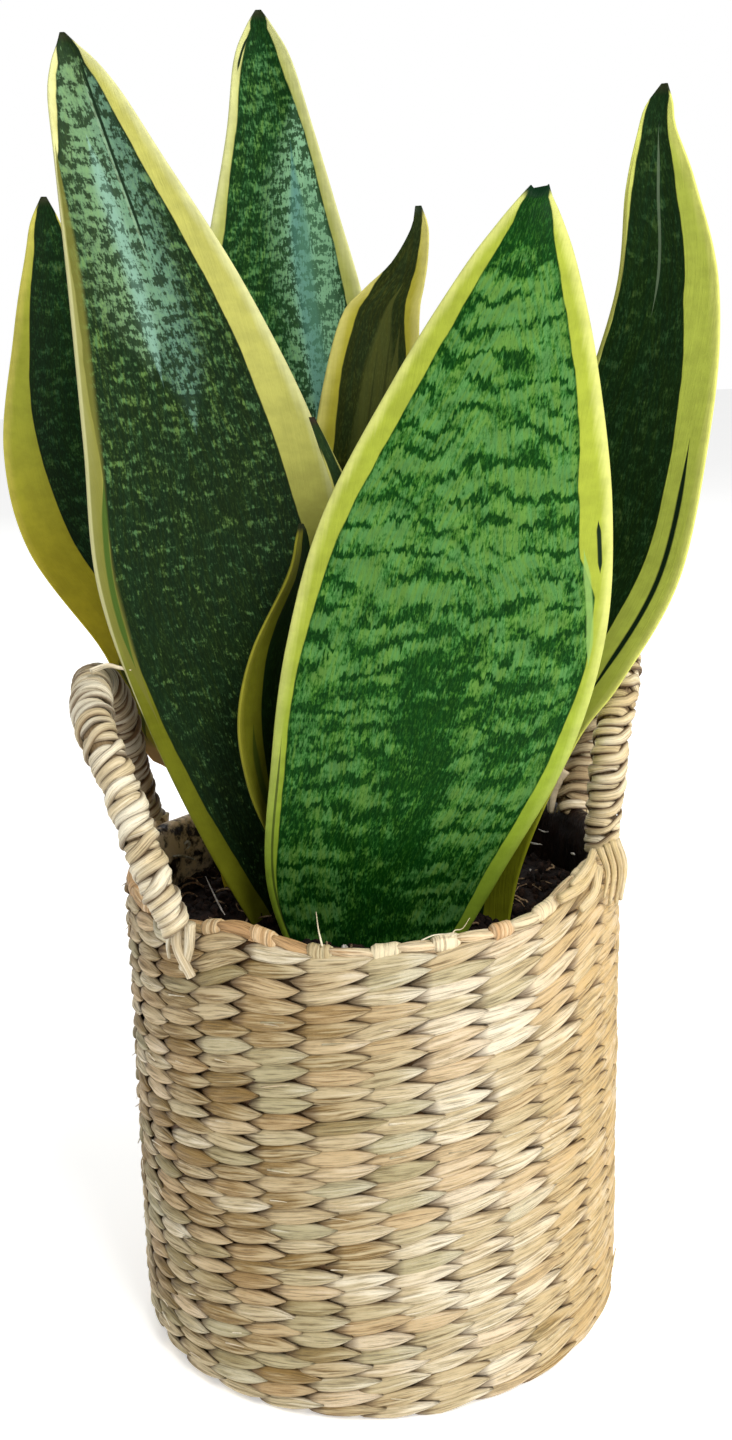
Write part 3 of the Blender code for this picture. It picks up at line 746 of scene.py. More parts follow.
# Loose fibres: points in millimetres, then the fibre's radius.
LOOSE_FIBRES = (
    (((-11, -71.6, 142.5), (-11.8, -71, 147), (-12.2, -70.4, 151.5)), 0.28),
    (((22.4, -71, 143.6), (23.6, -70.8, 145), (25.6, -70.2, 145.2), (27.6, -69.6, 147.8)), 0.2),
    (((14.8, -72.2, 143.2), (18, -72.6, 144.6), (21.4, -71.6, 144.4), (24.4, -70.8, 143.8)), 0.22),
    (((-74, -20, 207.2), (-69.7, -18, 208.2), (-66.4, -17, 207.2), (-63.2, -16.4, 206.2)), 0.95),
    (((-68, 38, 150), (-66.2, 36, 147), (-64.6, 34, 145)), 0.5),
    (((67.4, 31.6, 146), (65.6, 29.8, 143.8), (64.6, 29, 141.4)), 0.6),
    (((68.6, 31.4, 145.6), (67.6, 29.6, 143.4), (67, 29, 141)), 0.6),
    (((69.4, 31.6, 145.6), (69.2, 29.8, 143.2), (69, 29, 140.8)), 0.6),
    (((66, 31, 147.5), (63.6, 30.2, 146.4), (62.6, 29.6, 144.2)), 0.7),
    (((65.4, 32, 158), (62.6, 31.6, 153.2), (61.4, 31, 148.6), (61, 31, 144)), 2.7),
    (((73.4, 30.6, 147), (73, 30.2, 144.6), (72.4, 29.6, 141.4)), 1),
    (((67.2, 34, 160), (65.4, 33, 156), (64.2, 32.4, 152), (64.4, 31.6, 148.6)), 1.3),
)
FRAYED_ENDS = 170


def make_loose_fibres(material, rng):
    """Frayed ends: a few placed ones, and many short ones at the tips of the stitches."""
    pile = Pile()
    for points, radius in LOOSE_FIBRES:
        line = smooth_line(points, [5] * (len(points) - 1))
        radii = radius * (1.0 - 0.6 * np.linspace(0.0, 1.0, len(line)))
        add_strand(pile, line, radii, (0.9, 0.2, 0.0), rng.uniform(0.0, 90.0), sides=5)
    share = np.linspace(0.0, 1.0, 6)
    for _ in range(FRAYED_ENDS):
        angle = rng.uniform(0.0, 2.0 * math.pi)
        height = row_height(rng.integers(1, ROWS)) + rng.uniform(-0.6, 1.6)
        column_angle = round(angle * COLUMNS / (2.0 * math.pi)) * 2.0 * math.pi / COLUMNS
        reach = rng.uniform(4.0, 9.0) / STITCH_RADIUS
        around = column_angle + 0.06 + reach * (share - 0.4)
        out = STITCH_RADIUS + 2.0 + rng.uniform(0.1, 0.9) * share**2 - 0.4 * (1.0 - share)
        up = height + rng.normal(0.16, 0.1) * reach * STITCH_RADIUS * share
        tone = (rng.uniform(0.6, 1.0), float(warmth(angle)), 0.0)
        radii = rng.uniform(0.14, 0.34) * (1.0 - 0.6 * share)
        add_strand(pile, settled(around, out, up), radii, tone, rng.uniform(0.0, 90.0), sides=4)
    pile.piece("loose_fibres", material)


# Film and soil


LINER_RADIUS = 68.6
LINER_HEIGHTS = (5.4, 40.0, 80.0, 110.0, 118.0, 123.0, 126.0, 128.5, 131.0, 133.0, 134.6, 136.0)
LINER_STEPS = 192
LINER_WAVES = (9, 14, 23, 31, 47)
LINER_FLOOR = 0.6
# Behind, the film goes on over the rim: steps out and up from its edge in front.
LINER_FOLD_RADIUS = 68.0
LINER_FOLD = ((0.0, 2.0), (0.3, 4.5), (0.8, 6.6), (1.8, 7.9), (3.2, 8.3), (4.8, 7.9), (6.0, 6.9))


def make_liner(material, rng):
    """The dark film inside the basket, in soft upright wrinkles with a ragged edge."""
    angle = turns(LINER_STEPS)
    heights = np.array(LINER_HEIGHTS)[:, None]
    behind = smooth_step(np.sin(angle - math.radians(4.0)), -0.02, 0.2)
    wrinkle = 0.0
    for waves in LINER_WAVES:
        phase = rng.uniform(0.0, 6.28)
        drift = rng.normal(0.0, 0.06)
        size = rng.uniform(0.3, 1.0) * 9.0 / waves
        wrinkle = wrinkle + size * np.sin(waves * angle + phase + drift * (heights - 120.0))
    share = smooth_step(heights, 100.0, 128.0)
    radius = LINER_RADIUS - (0.5 + np.abs(wrinkle) * 0.55 * share) * share
    edge = heights + (heights > 135.5) * 0.5 * np.sin(7.0 * angle + wrinkle[-1])
    fold = np.array(LINER_FOLD)[:, :, None] * (0.03 + 0.97 * behind)
    fold[:, 1] += 0.3 * behind * np.sin(11.0 * angle + wrinkle[-1]) * (fold[:, 1] > 6.0)
    fold_start = radius[-1] + (LINER_FOLD_RADIUS - radius[-1]) * behind
    radius = np.concatenate([radius, fold_start + fold[:, 0]])
    edge = np.concatenate([edge, edge[-1] + fold[:, 1]])
    thin = np.concatenate([np.full(len(heights), 0.6), np.linspace(0.5, 0.15, len(LINER_FOLD))])[:, None]
    outside = settled(angle, radius, edge)
    inside = settled(angle, radius - thin, edge + 0.4 * (edge > 142.0) - 0.15)
    low = heights[0]
    inside[0, :, 2] = low + LINER_FLOOR
    floor = settled(angle, 0.05, low)[None]
    floor_inside = settled(angle, 0.05, low + LINER_FLOOR)[None]
    points = np.concatenate([floor, outside, inside[::-1], floor_inside])
    pile = Pile()
    pile.add(points, tube_faces(len(points), LINER_STEPS))
    pile.piece("liner_film", material, ("plastic_liner",))


SOIL_RADIUS = 66.6
SOIL_LEVEL = 127.4
SOIL_FRONT_DIP = 5.5
SOIL_SHIFT = LEAN * SOIL_LEVEL / BASKET_TALL
SOIL_STEPS = 220
SOIL_RINGS = 90
LUMP_ROUND = 7
LUMP_ROWS = 5
SOIL_SIDE_HEIGHTS = (100.0, 7.0, 7.0)
# Lumps: how many, smallest and largest, and how far up a lump's middle stands as a share of its size
CRUMBS = (1700, 0.4, 2.1, 0.3)
PALE_BITS = (60, 0.4, 1.1, 0.5)
ROOT_FIBRES = 150


def soil_height(x, y):
    """The top of the soil: uneven, with clods, and lower in front."""
    radius = np.hypot(x, y)
    high = SOIL_LEVEL + 1.4 * np.cos(radius / 30.0) - SOIL_FRONT_DIP * smooth_step(-y, 2.0, 20.0)
    high = high + 0.9 * np.sin(x / 7.1 + 1.3) * np.sin(y / 8.3 + 0.4)
    high = high + 0.6 * np.sin(x / 2.9 + y / 4.1) * np.sin(y / 3.3 - x / 5.7)
    return high + 0.3 * np.sin(x / 1.3 + 2.0 * np.sin(y / 2.1)) * np.sin(y / 1.1 + x / 3.0)


def make_soil(material):
    """The soil's uneven top, closed down to the liner's floor."""
    angle = turns(SOIL_STEPS)
    radius = SOIL_RADIUS * np.linspace(0.004, 1.0, SOIL_RINGS)[:, None]
    x = radius * np.cos(angle)
    y = radius * np.sin(angle)
    top = np.stack([x + SOIL_SHIFT, y, soil_height(x, y)], axis=-1)
    heights = np.array(SOIL_SIDE_HEIGHTS)[:, None]
    side = settled(angle, np.array([[SOIL_RADIUS], [SOIL_RADIUS], [0.1]]), heights)
    side[..., 2] = heights
    points = np.concatenate([top, side])
    pile = Pile()
    pile.add(points, tube_faces(len(points), SOIL_STEPS))
    pile.piece("soil_surface", material, ("potting_soil",))


def on_soil(rng, least, most):
    """The x and y of a chance spot on the soil, between two shares of its area."""
    radius = SOIL_RADIUS * math.sqrt(rng.uniform(least, most))
    turn = rng.uniform(0.0, 2.0 * math.pi)
    return radius * math.cos(turn), radius * math.sin(turn)


def lump(rng, size):
    """A small rough lump as rows of points between two poles."""
    turn = turns(LUMP_ROUND)
    tilt = math.pi * (np.arange(LUMP_ROWS)[:, None] + 0.5) / LUMP_ROWS
    stretch = rng.uniform(0.6, 1.3, 3) * size
    rough = 1.0 + rng.normal(0.0, 0.16, (LUMP_ROWS, LUMP_ROUND))
    x = np.sin(tilt) * np.cos(turn) * rough * stretch[0]
    y = np.sin(tilt) * np.sin(turn) * rough * stretch[1]
    z = np.cos(tilt) * rough * stretch[2]
    return np.stack([x, y, z], axis=-1)


def add_lumps(pile, count, smallest, largest, sink, rng):
    """Lumps on chance spots of the soil."""
    faces = tube_faces(LUMP_ROWS, LUMP_ROUND)
    for _ in range(count):
        x, y = on_soil(rng, 0.0, 0.98)
        size = smallest + (largest - smallest) * rng.uniform(0.0, 1.0) ** 2
        shift = (x + SOIL_SHIFT, y, float(soil_height(x, y)) + size * sink)
        pile.add(lump(rng, size) + shift, faces, grain=(x, y, size), tone=(rng.uniform(0.0, 1.0), 0.0, 0.0))


# Pale scraps on the film and the soil: points in millimetres, then the radius.
PALE_SCRAPS = (
    (((54, 40.2, 131.6), (56.2, 38.4, 131.2), (58.4, 35.4, 131.8)), 0.4),
    (((65.6, 18.6, 134.2), (66.2, 17, 134.4), (66.4, 15.8, 134.6)), 0.45),
    (((57.4, 36.2, 136.9), (59.2, 33.8, 136.6), (60.2, 32, 137.2)), 0.25),
    (((-57, 28, 139.4), (-56.2, 28.6, 140), (-55.6, 29.6, 139.4), (-55.7, 29.6, 138.2),
      (-56.5, 28.6, 137.6)), 0.5),
    (((-60, 20.2, 138.2), (-57.8, 26, 136.2), (-54.6, 32.8, 132.6)), 0.45),
    (((-50.6, 24.8, 129.4), (-46.5, 7, 129.8), (-43.2, -6, 129.6), (-41.6, -12.2, 130)), 0.28),
)


def add_root_fibre(pile, rng):
    """A thin fibre that wanders over the soil in a low arch."""
    x, y = on_soil(rng, 0.02, 0.93)
    heading = rng.uniform(0.0, 2.0 * math.pi)
    line = []
    arch = rng.uniform(0.2, 1.6)
    reach = rng.uniform(4.0, 14.0)
    for share in np.linspace(0.0, 1.0, 9):
        height = float(soil_height(x, y)) + 0.4 + arch * math.sin(math.pi * share)
        line.append((x + SOIL_SHIFT, y, height))
        heading += rng.normal(0.0, 0.35)
        x += reach / 8.0 * math.cos(heading)
        y += reach / 8.0 * math.sin(heading)
        within = min(1.0, (SOIL_RADIUS - 1.0) / math.hypot(x, y))
        x *= within
        y *= within
    tone = (rng.uniform(0.0, 1.0), 0.0, 0.0)
    add_strand(pile, line, rng.uniform(0.12, 0.4), tone, rng.uniform(0.0, 90.0), sides=5)


def make_soil_bits(crumb, pale, root, rng):
    """Crumbs, pale bits with a few scraps, and fine fibres."""
    crumbs = Pile()
    add_lumps(crumbs, *CRUMBS, rng)
    crumbs.piece("soil_crumbs", crumb)
    bits = Pile()
    add_lumps(bits, *PALE_BITS, rng)
    for points, radius in PALE_SCRAPS:
        line = smooth_line(points, [5] * (len(points) - 1))
        radii = radius * (1.0 - 0.6 * np.linspace(-1.0, 1.0, len(line)) ** 2)
        add_strand(bits, line, radii, (0.8, 0.0, 0.0), 3.0, sides=6)
    bits.piece("soil_pale_bits", pale)
    fibres = Pile()
    for _ in range(ROOT_FIBRES):
        add_root_fibre(fibres, rng)
    fibres.piece("soil_fibres", root)


# Leaves


def leaf_rows(leaf):
    """Level slices close enough together for a smooth leaf."""
    stations = np.array(leaf["stations"], float)
    if "turn" in leaf:
        stations = np.column_stack([stations, np.full(len(stations), leaf["turn"])])
    steps = [max(2, int(math.ceil(span / LEAF_ROW_STEP))) for span in np.diff(stations[:, 0])]
    rows = smooth_line(stations, steps)
    rows[:, 3] = np.maximum(rows[:, 3], LEAF_LEAST_WIDTH)
    return rows


def leaf_mesh(name, leaf, pile, rng):
    """Both faces of a leaf between its edges, with values that say where on it a point is."""
    height, x, y, width, turn = leaf_rows(leaf).T[:, :, None]
    turn = np.radians(turn)
    side = np.stack([np.cos(turn), np.sin(turn), 0.0 * turn], axis=-1)
    face = np.stack([np.sin(turn), -np.cos(turn), 0.0 * turn], axis=-1)
    half = width / 2.0
    count = LEAF_ACROSS + 1
    across = np.linspace(-1.0, 1.0, count)
    across = np.sign(across) * np.abs(across) ** 0.9
    loop = np.concatenate([across, [1.0], across[::-1], [-1.0]])[None]
    is_back = np.concatenate([np.zeros(count), [0.5], np.ones(count), [0.5]])
    bulge = np.where(is_back == 0.5, 0.3, 0.0) * np.sign(loop)
    bend = leaf["cup"] * half * loop**2
    phases = rng.uniform(0.0, 6.28, 2)
    right, left = (np.sin(height / length + phase) for length, phase in zip(RIPPLE_LENGTHS, phases))
    ripple = np.where(loop > 0.0, right, left)
    bend = bend + LEAF_RIPPLE * ripple * np.abs(loop) ** 3 * np.minimum(half / 20.0, 1.0)
    if "crease" in leaf:
        low, high, first, last, depth = leaf["crease"]
        share = (height - low) / (high - low)
        at = first + (last - first) * share
        fade = smooth_step(share, 0.0, 0.2) * (1.0 - smooth_step(share, 0.9, 1.0))
        bend = bend - depth * fade * hump((loop - at) * half, 2.2)
    deepest = np.maximum(np.minimum(leaf["thick"], LEAF_THICKNESS_SHARE * 2.0 * half), LEAF_EDGE)
    thick = LEAF_EDGE + (deepest - LEAF_EDGE) * (1.0 - loop**2)
    points = np.stack([x, y, height], axis=-1) + side * (loop * half + bulge)[..., None]
    points = points + face * (bend - thick * is_back)[..., None]
    if name == "leaf_front":
        points[..., 2] -= FRONT_NOTCH * smooth_step(height, *FRONT_NOTCH_HEIGHTS) * (1.0 - loop**2)
    left, right = (np.interp(height, *np.array(leaf[end]).T) for end in ("left", "right"))
    place = triple(points, loop * half, height, np.minimum(loop - left, right - loop) * half)
    edges = triple(points, (1.0 + loop) * half, (1.0 - loop) * half, height[-1] - height)
    pile.add(points, tube_faces(len(points), loop.shape[1]), place=place, edges=edges)


# Shaders


class Nodes:
    """Adds nodes to one tree, so that a formula reads in order."""

    def __init__(self, tree):
        self.tree = tree
        self.row = 0

    def add(self, kind, **settings):
        node = self.tree.nodes.new(kind)
        node.location = (200.0 * (self.row % 12), -260.0 * (self.row // 12))
        self.row += 1
        for name, value in settings.items():
            setattr(node, name, value)
        return node

    def feed(self, socket, value):
        if isinstance(value, bpy.types.NodeSocket):
            self.tree.links.new(value, socket)
        else:
            socket.default_value = value

    def fed(self, kind, *values, **settings):
        """The first output of a new node, with the values fed to its sockets in order."""
        node = self.add(kind, **settings)
        for socket, value in zip(node.inputs, values):
            self.feed(socket, value)
        return node.outputs[0]

    def math(self, operation, *values):
        return self.fed("ShaderNodeMath", *values, operation=operation)

    def times(self, first, second):
        return self.math("MULTIPLY", first, second)

    def plus(self, first, second):
        return self.math("ADD", first, second)

    def less(self, first, second):
        return self.math("SUBTRACT", first, second)

    def swayed(self, noise, size, base):
        """The base moved up and down by a noise."""
        return self.math("MULTIPLY_ADD", self.less(noise, 0.5), size, base)

    def stretched(self, vector, factors):
        return self.fed("ShaderNodeVectorMath", vector, factors, operation="MULTIPLY")

    def joined(self, x, y, z):
        return self.fed("ShaderNodeCombineXYZ", x, y, z)

    def parts(self, vector):
        node = self.add("ShaderNodeSeparateXYZ")
        self.feed(node.inputs[0], vector)
        return tuple(node.outputs)

    def noise(self, place, stretch, detail=2.0, roughness=0.5):
        vector = self.stretched(place, stretch)
        node = self.add("ShaderNodeTexNoise")
        for name, value in (("Vector", vector), ("Scale", 1.0), ("Detail", detail), ("Roughness", roughness)):
            self.feed(node.inputs[name], value)
        return node.outputs["Fac"]

    def mix(self, share, first, second, blend="MIX"):
        node = self.add("ShaderNodeMix", data_type="RGBA", blend_type=blend)
        for index, value in ((0, share), (6, first), (7, second)):
            self.feed(node.inputs[index], value)
        return node.outputs[2]

    def dimmed(self, colour, value):
        """The colour times a value that is 1 where it stays."""
        return self.mix(1.0, colour, self.joined(value, value, value), "MULTIPLY")

    def step(self, value, low, high, first=0.0, last=1.0):
        """first up to low, last from high on, and a soft change between them."""
        return self.fed("ShaderNodeMapRange", value, low, high, first, last, interpolation_type="SMOOTHSTEP")

    def attribute(self, name):
        return self.add("ShaderNodeAttribute", attribute_name=name).outputs["Vector"]

    def position(self):
        return self.add("ShaderNodeNewGeometry").outputs["Position"]

    def group(self, group, **values):
        node = self.add("ShaderNodeGroup", node_tree=group)
        for name, value in values.items():
            self.feed(node.inputs[name.replace("_", " ")], value)
        return node

    def bump(self, height, distance):
        node = self.add("ShaderNodeBump")
        self.feed(node.inputs["Distance"], distance)
        self.feed(node.inputs["Height"], height)
        return node.outputs[0]


SOCKETS = {"value": "NodeSocketFloat", "vector": "NodeSocketVector", "colour": "NodeSocketColor"}
STRAW_COLOURS = ("Dark", "Middle", "Light", "Golden", "Rosy", "Painted shade")
BAND_VALUES = ("Spacing", "Share", "Band", "Wave", "Crinkle", "Tooth", "Patch", "Dash", "Fine")
STREAK_VALUES = ("Along", "Offset", "Low", "High", "Low offset", "High offset", "Half width", "Soft")
GREY_GREEN = shade(160, 157, 117)
STRAW_BUMP = 0.0005
FILM_BUMP = 0.0016
SOIL_BUMP = 0.0012


def new_group(name, takes, gives):
    """A shader group with named inputs and outputs, and its inputs' sockets by name."""
    tree = bpy.data.node_groups.new(name, "ShaderNodeTree")
    for socket, kind in takes.items():
        tree.interface.new_socket(socket, in_out="INPUT", socket_type=SOCKETS[kind])
    for socket, kind in gives.items():
        tree.interface.new_socket(socket, in_out="OUTPUT", socket_type=SOCKETS[kind])
    nodes = Nodes(tree)
    entry = nodes.add("NodeGroupInput")
    leave = nodes.add("NodeGroupOutput")
    return tree, nodes, entry.outputs, leave.inputs


def straw_group():
    """Dried blades twisted together: fine lines along the grain and a colour for each stitch."""
    tree, nodes, takes, gives = new_group(
        "Straw fibres",
        {"Grain": "vector", "Tone": "vector", **dict.fromkeys(STRAW_COLOURS, "colour"), "Lines": "value"},
        {"Color": "colour", "Roughness": "value", "Height": "value"},
    )
    grain = takes["Grain"]
    fine = nodes.noise(grain, (0.09, 1.7, 3.0), 4.0, 0.7)
    broad = nodes.noise(grain, (0.07, 1.1, 3.0))
    spots = nodes.noise(grain, (0.35, 0.5, 5.0), 3.0)
    draw = nodes.add("ShaderNodeTexWhiteNoise", noise_dimensions="1D")
    nodes.feed(draw.inputs["W"], nodes.parts(grain)[2])
    chance = draw.outputs["Value"]
    tone, warm, painted_shade = nodes.parts(takes["Tone"])
    shift = nodes.swayed(broad, 0.9, tone)
    shift = nodes.swayed(fine, 0.9, shift)
    colour = nodes.mix(nodes.step(shift, 0.0, 0.5), takes["Dark"], takes["Middle"])
    colour = nodes.mix(nodes.step(shift, 0.5, 1.05), colour, takes["Light"])
    colour = nodes.mix(nodes.step(chance, 0.6, 1.0, 0.0, 0.5), colour, takes["Rosy"])
    green = nodes.times(nodes.step(chance, 0.3, 0.05, 0.0, 0.5), nodes.step(warm, 0.6, 0.1))
    colour = nodes.mix(green, colour, GREY_GREEN)
    golden = nodes.times(warm, nodes.step(spots, 0.25, 0.75, 0.4, 0.85))
    colour = nodes.mix(golden, colour, takes["Golden"])
    lines = nodes.step(fine, 0.34, 0.54, 0.42, 1.1)
    colour = nodes.dimmed(colour, nodes.math("MULTIPLY_ADD", nodes.less(lines, 1.0), takes["Lines"], 1.0))
    # The tone's third value mixes in the painted shade colour.
    colour = nodes.mix(nodes.times(painted_shade, 0.92), colour, takes["Painted shade"])
    nodes.feed(gives["Color"], colour)
    nodes.feed(gives["Roughness"], nodes.step(fine, 0.2, 0.8, 0.62, 0.5))
    nodes.feed(gives["Height"], nodes.plus(fine, nodes.times(broad, 0.8)))
    return tree


def bands_group():
    """Cross-bands of a leaf: level waves with toothed edges that break up into patches and dashes."""
    tree, nodes, takes, gives = new_group(
        "Leaf bands",
        {"Place": "vector", **dict.fromkeys(BAND_VALUES, "value"), "Seed": "value"},
        {"Light": "value", "Fleck": "value"},
    )
    across, along, _ = nodes.parts(takes["Place"])
    flat = nodes.joined(across, along, takes["Seed"])
    small = nodes.stretched(flat, nodes.joined(takes["Fine"], takes["Fine"], 1.0))
    slow = nodes.noise(flat, (0.06, 0.035, 1.0))
    crinkle = nodes.noise(flat, (0.45, 0.12, 3.0), 2.0, 0.6)
    broken = nodes.noise(flat, (0.1, 0.14, 5.0), 3.0, 0.6)
    teeth = nodes.noise(flat, (1.3, 0.16, 1.0), 2.0, 0.6)
    patch = nodes.noise(small, (0.11, 0.18, 2.0), 4.0, 0.6)
    dash = nodes.noise(flat, (1.7, 0.55, 4.0), 2.0, 0.6)
    fleck = nodes.noise(flat, (2.6, 0.75, 6.0), 2.0, 0.6)
    moved = nodes.swayed(slow, takes["Wave"], along)
    moved = nodes.swayed(crinkle, takes["Crinkle"], moved)
    moved = nodes.swayed(teeth, takes["Tooth"], moved)
    angle = nodes.math("DIVIDE", nodes.times(moved, 2.0 * math.pi), takes["Spacing"])
    crest = nodes.math("MULTIPLY_ADD", nodes.math("SINE", angle), 0.5, 0.5)
    line = nodes.times(nodes.math("POWER", crest, 4.5), takes["Band"])
    line = nodes.times(line, nodes.step(broken, 0.4, 0.58, 0.1, 1.0))
    light = nodes.less(takes["Share"], line)
    light = nodes.swayed(patch, takes["Patch"], light)
    light = nodes.swayed(dash, takes["Dash"], light)
    nodes.feed(gives["Light"], light)
    nodes.feed(gives["Fleck"], fleck)
    return tree


def margin_group():
    """The pale margin of a leaf: how far a point is inside the green body, and lines along it."""
    tree, nodes, takes, gives = new_group(
        "Leaf margin",
        {"Place": "vector", "Edges": "vector", "Outer": "colour", "Inner": "colour", "Seed": "value"},
        {"Body": "value", "Rim": "value", "Line": "value", "Color": "colour"},
    )
    across, along, depth = nodes.parts(takes["Place"])
    left, right, _ = nodes.parts(takes["Edges"])
    flat = nodes.joined(across, along, takes["Seed"])
    wander = nodes.noise(flat, (0.3, 0.07, 1.0), 3.0)
    lines = nodes.noise(flat, (1.4, 0.02, 1.0))
    moved = nodes.swayed(wander, 1.1, depth)
    nodes.feed(gives["Body"], nodes.step(moved, -0.18, 0.22))
    nodes.feed(gives["Rim"], nodes.less(1.0, nodes.step(moved, 0.2, 1.9)))
    nodes.feed(gives["Line"], nodes.step(moved, 0.85, 0.25))
    edge = nodes.math("MINIMUM", left, right)
    share = nodes.plus(nodes.times(edge, 0.3), nodes.times(lines, 0.5))
    share = nodes.swayed(wander, 0.6, share)
    nodes.feed(gives["Color"], nodes.mix(nodes.step(share, 0.3, 1.3), takes["Outer"], takes["Inner"]))
    return tree


def streak_group():
    """One thin streak along a leaf, from a low height to a high one, as a mask."""
    tree, nodes, takes, gives = new_group(
        "Leaf streak",
        dict.fromkeys(STREAK_VALUES, "value"),
        {"Mask": "value"},
    )
    span = nodes.less(takes["High"], takes["Low"])
    share = nodes.math("DIVIDE", nodes.less(takes["Along"], takes["Low"]), span)
    drift = nodes.less(takes["High offset"], takes["Low offset"])
    centre = nodes.math("MULTIPLY_ADD", drift, share, takes["Low offset"])
    taper = nodes.times(nodes.step(share, 0.0, 0.25), nodes.step(share, 1.0, 0.75))
    wide = nodes.math("MAXIMUM", nodes.times(taper, takes["Half width"]), 0.001)
    away = nodes.math("ABSOLUTE", nodes.less(takes["Offset"], centre))
    outer = nodes.plus(1.0, takes["Soft"])
    inner = nodes.less(1.0, takes["Soft"])
    mask = nodes.step(nodes.math("DIVIDE", away, wide), outer, inner)
    nodes.feed(gives["Mask"], nodes.times(mask, nodes.step(taper, 0.0, 0.05)))
    return tree


def new_material(name, roughness=0.6, specular=0.5):
    """A material, its nodes and its shader's inputs."""
    material = bpy.data.materials.new(name)
    material.use_nodes = True
    shader = material.node_tree.nodes["Principled BSDF"].inputs
    shader["Roughness"].default_value = roughness
    shader["Specular IOR Level"].default_value = specular
    return material, Nodes(material.node_tree), shader


def straw_material(name, group, colours, lines):
    """lines is how strongly the fine lines show."""
    material, nodes, shader = new_material(name, specular=0.4)
    shades = {part: shade(*colour) for part, colour in zip(STRAW_COLOURS, colours)}
    straw = nodes.group(group, Grain=nodes.attribute("grain"), Tone=nodes.attribute("tone"), Lines=lines,
                        **shades)
    nodes.feed(shader["Base Color"], straw.outputs["Color"])
    nodes.feed(shader["Roughness"], straw.outputs["Roughness"])
    nodes.feed(shader["Normal"], nodes.bump(straw.outputs["Height"], STRAW_BUMP))
    return material


def leaf_material(name, look, groups, seed):
    """Cross-bands, a pale margin, streaks and a dark tip."""
    material, nodes, shader = new_material(name, specular=look["shine"])
    dark, middle, pale, outer, inner, foot, tip = (shade(*look[part]) for part in LEAF_COLOURS)
    place = nodes.attribute("place")
    edges = nodes.attribute("edges")
    across, along, _ = nodes.parts(place)
    left, right, from_tip = nodes.parts(edges)
    offsets = {"left": left, "right": right, "middle": across}

    def streak(kind, low, high, first, last, half_width, soft):
        return nodes.group(groups["streak"], Along=along, Offset=offsets[kind], Low=low, High=high,
                           Low_offset=first, High_offset=last, Half_width=half_width,
                           Soft=soft).outputs["Mask"]

    bands = nodes.group(groups["bands"], Place=place, Seed=seed,
                        **{value: look[value.lower()] for value in BAND_VALUES})
    margin = nodes.group(groups["margin"], Place=place, Edges=edges, Outer=outer, Inner=inner, Seed=seed)
    fleck = bands.outputs["Fleck"]
    # fade lowers the light bands towards the leaf's foot, painted shade, and on some leaves raises them high
    # up, painted light.
    light = nodes.plus(bands.outputs["Light"], nodes.step(along, *look["fade"]))
    light = nodes.less(light, nodes.times(margin.outputs["Rim"], look["rim"]))
    # Painted shade down the middle of the lower leaf, between the two heights of midrib.
    painted_centre_shade = nodes.step(nodes.math("ABSOLUTE", across), 14.0, 4.0)
    light = nodes.less(light, nodes.times(painted_centre_shade, nodes.step(along, *look["painted_centre_shade"])))
    light = nodes.less(light, nodes.step(from_tip, *look["cap"]))
    ragged = nodes.swayed(fleck, 0.4, light)
    body = nodes.mix(nodes.times(nodes.step(fleck, 0.44, 0.72), 0.55), dark, middle)
    body = nodes.mix(nodes.step(ragged, 0.35, 0.52), body, middle)
    body = nodes.mix(nodes.step(ragged, 0.47, 0.74), body, pale)
    clouds = nodes.noise(place, (0.16, 0.2, 0.0), 3.0, 0.6)
    specks = nodes.times(nodes.step(fleck, 0.36, 0.62, 0.92, 1.05), nodes.step(clouds, 0.3, 0.7, 0.86, 1.12))
    body = nodes.dimmed(body, specks)
    tints = nodes.step(nodes.noise(place, (0.05, 0.07, 1.0)), 0.38, 0.62)
    cool, warm = (nodes.mix(1.0, body, tint, "MULTIPLY") for tint in (COOL_TINT, WARM_TINT))
    body = nodes.mix(tints, cool, warm)
    # Each bloom entry paints a sheen: a soft pale streak over the light bands.
    for *line, strength, tint in look["painted_sheen"]:
        shown = nodes.step(light, 0.36, 0.52, 0.12 * strength, strength)
        body = nodes.mix(nodes.times(streak("middle", *line, 1.0), shown), body, shade(*tint))
    body = nodes.mix(nodes.times(margin.outputs["Line"], 0.55), body, dark)
    border = nodes.mix(nodes.step(along, *look["margin_low"]), foot, margin.outputs["Color"])
    border = nodes.dimmed(border, nodes.step(clouds, 0.3, 0.7, 0.88, 1.06))
    colour = nodes.mix(margin.outputs["Body"], border, body)
    for *line, strength, tint in look["streaks"]:
        colour = nodes.mix(nodes.times(streak(*line, 0.35), strength), colour, shade(*tint))
    colour = nodes.mix(nodes.step(from_tip, 3.2, 0.8), colour, tip)
    lines = nodes.noise(nodes.joined(across, along, seed), (1.6, 0.03, 1.0))
    nodes.feed(shader["Base Color"], colour)
    nodes.feed(shader["Roughness"], nodes.step(fleck, 0.2, 0.8, look["gloss"] + 0.06, look["gloss"] + 0.2))
    nodes.feed(shader["Normal"], nodes.bump(nodes.math("MULTIPLY_ADD", fleck, 0.5, lines), LEAF_BUMP))
    return material


COOL_TINT = (0.88, 0.98, 1.2, 1.0)
WARM_TINT = (1.14, 1.02, 0.82, 1.0)
DARK_LINE = (18, 38, 20)
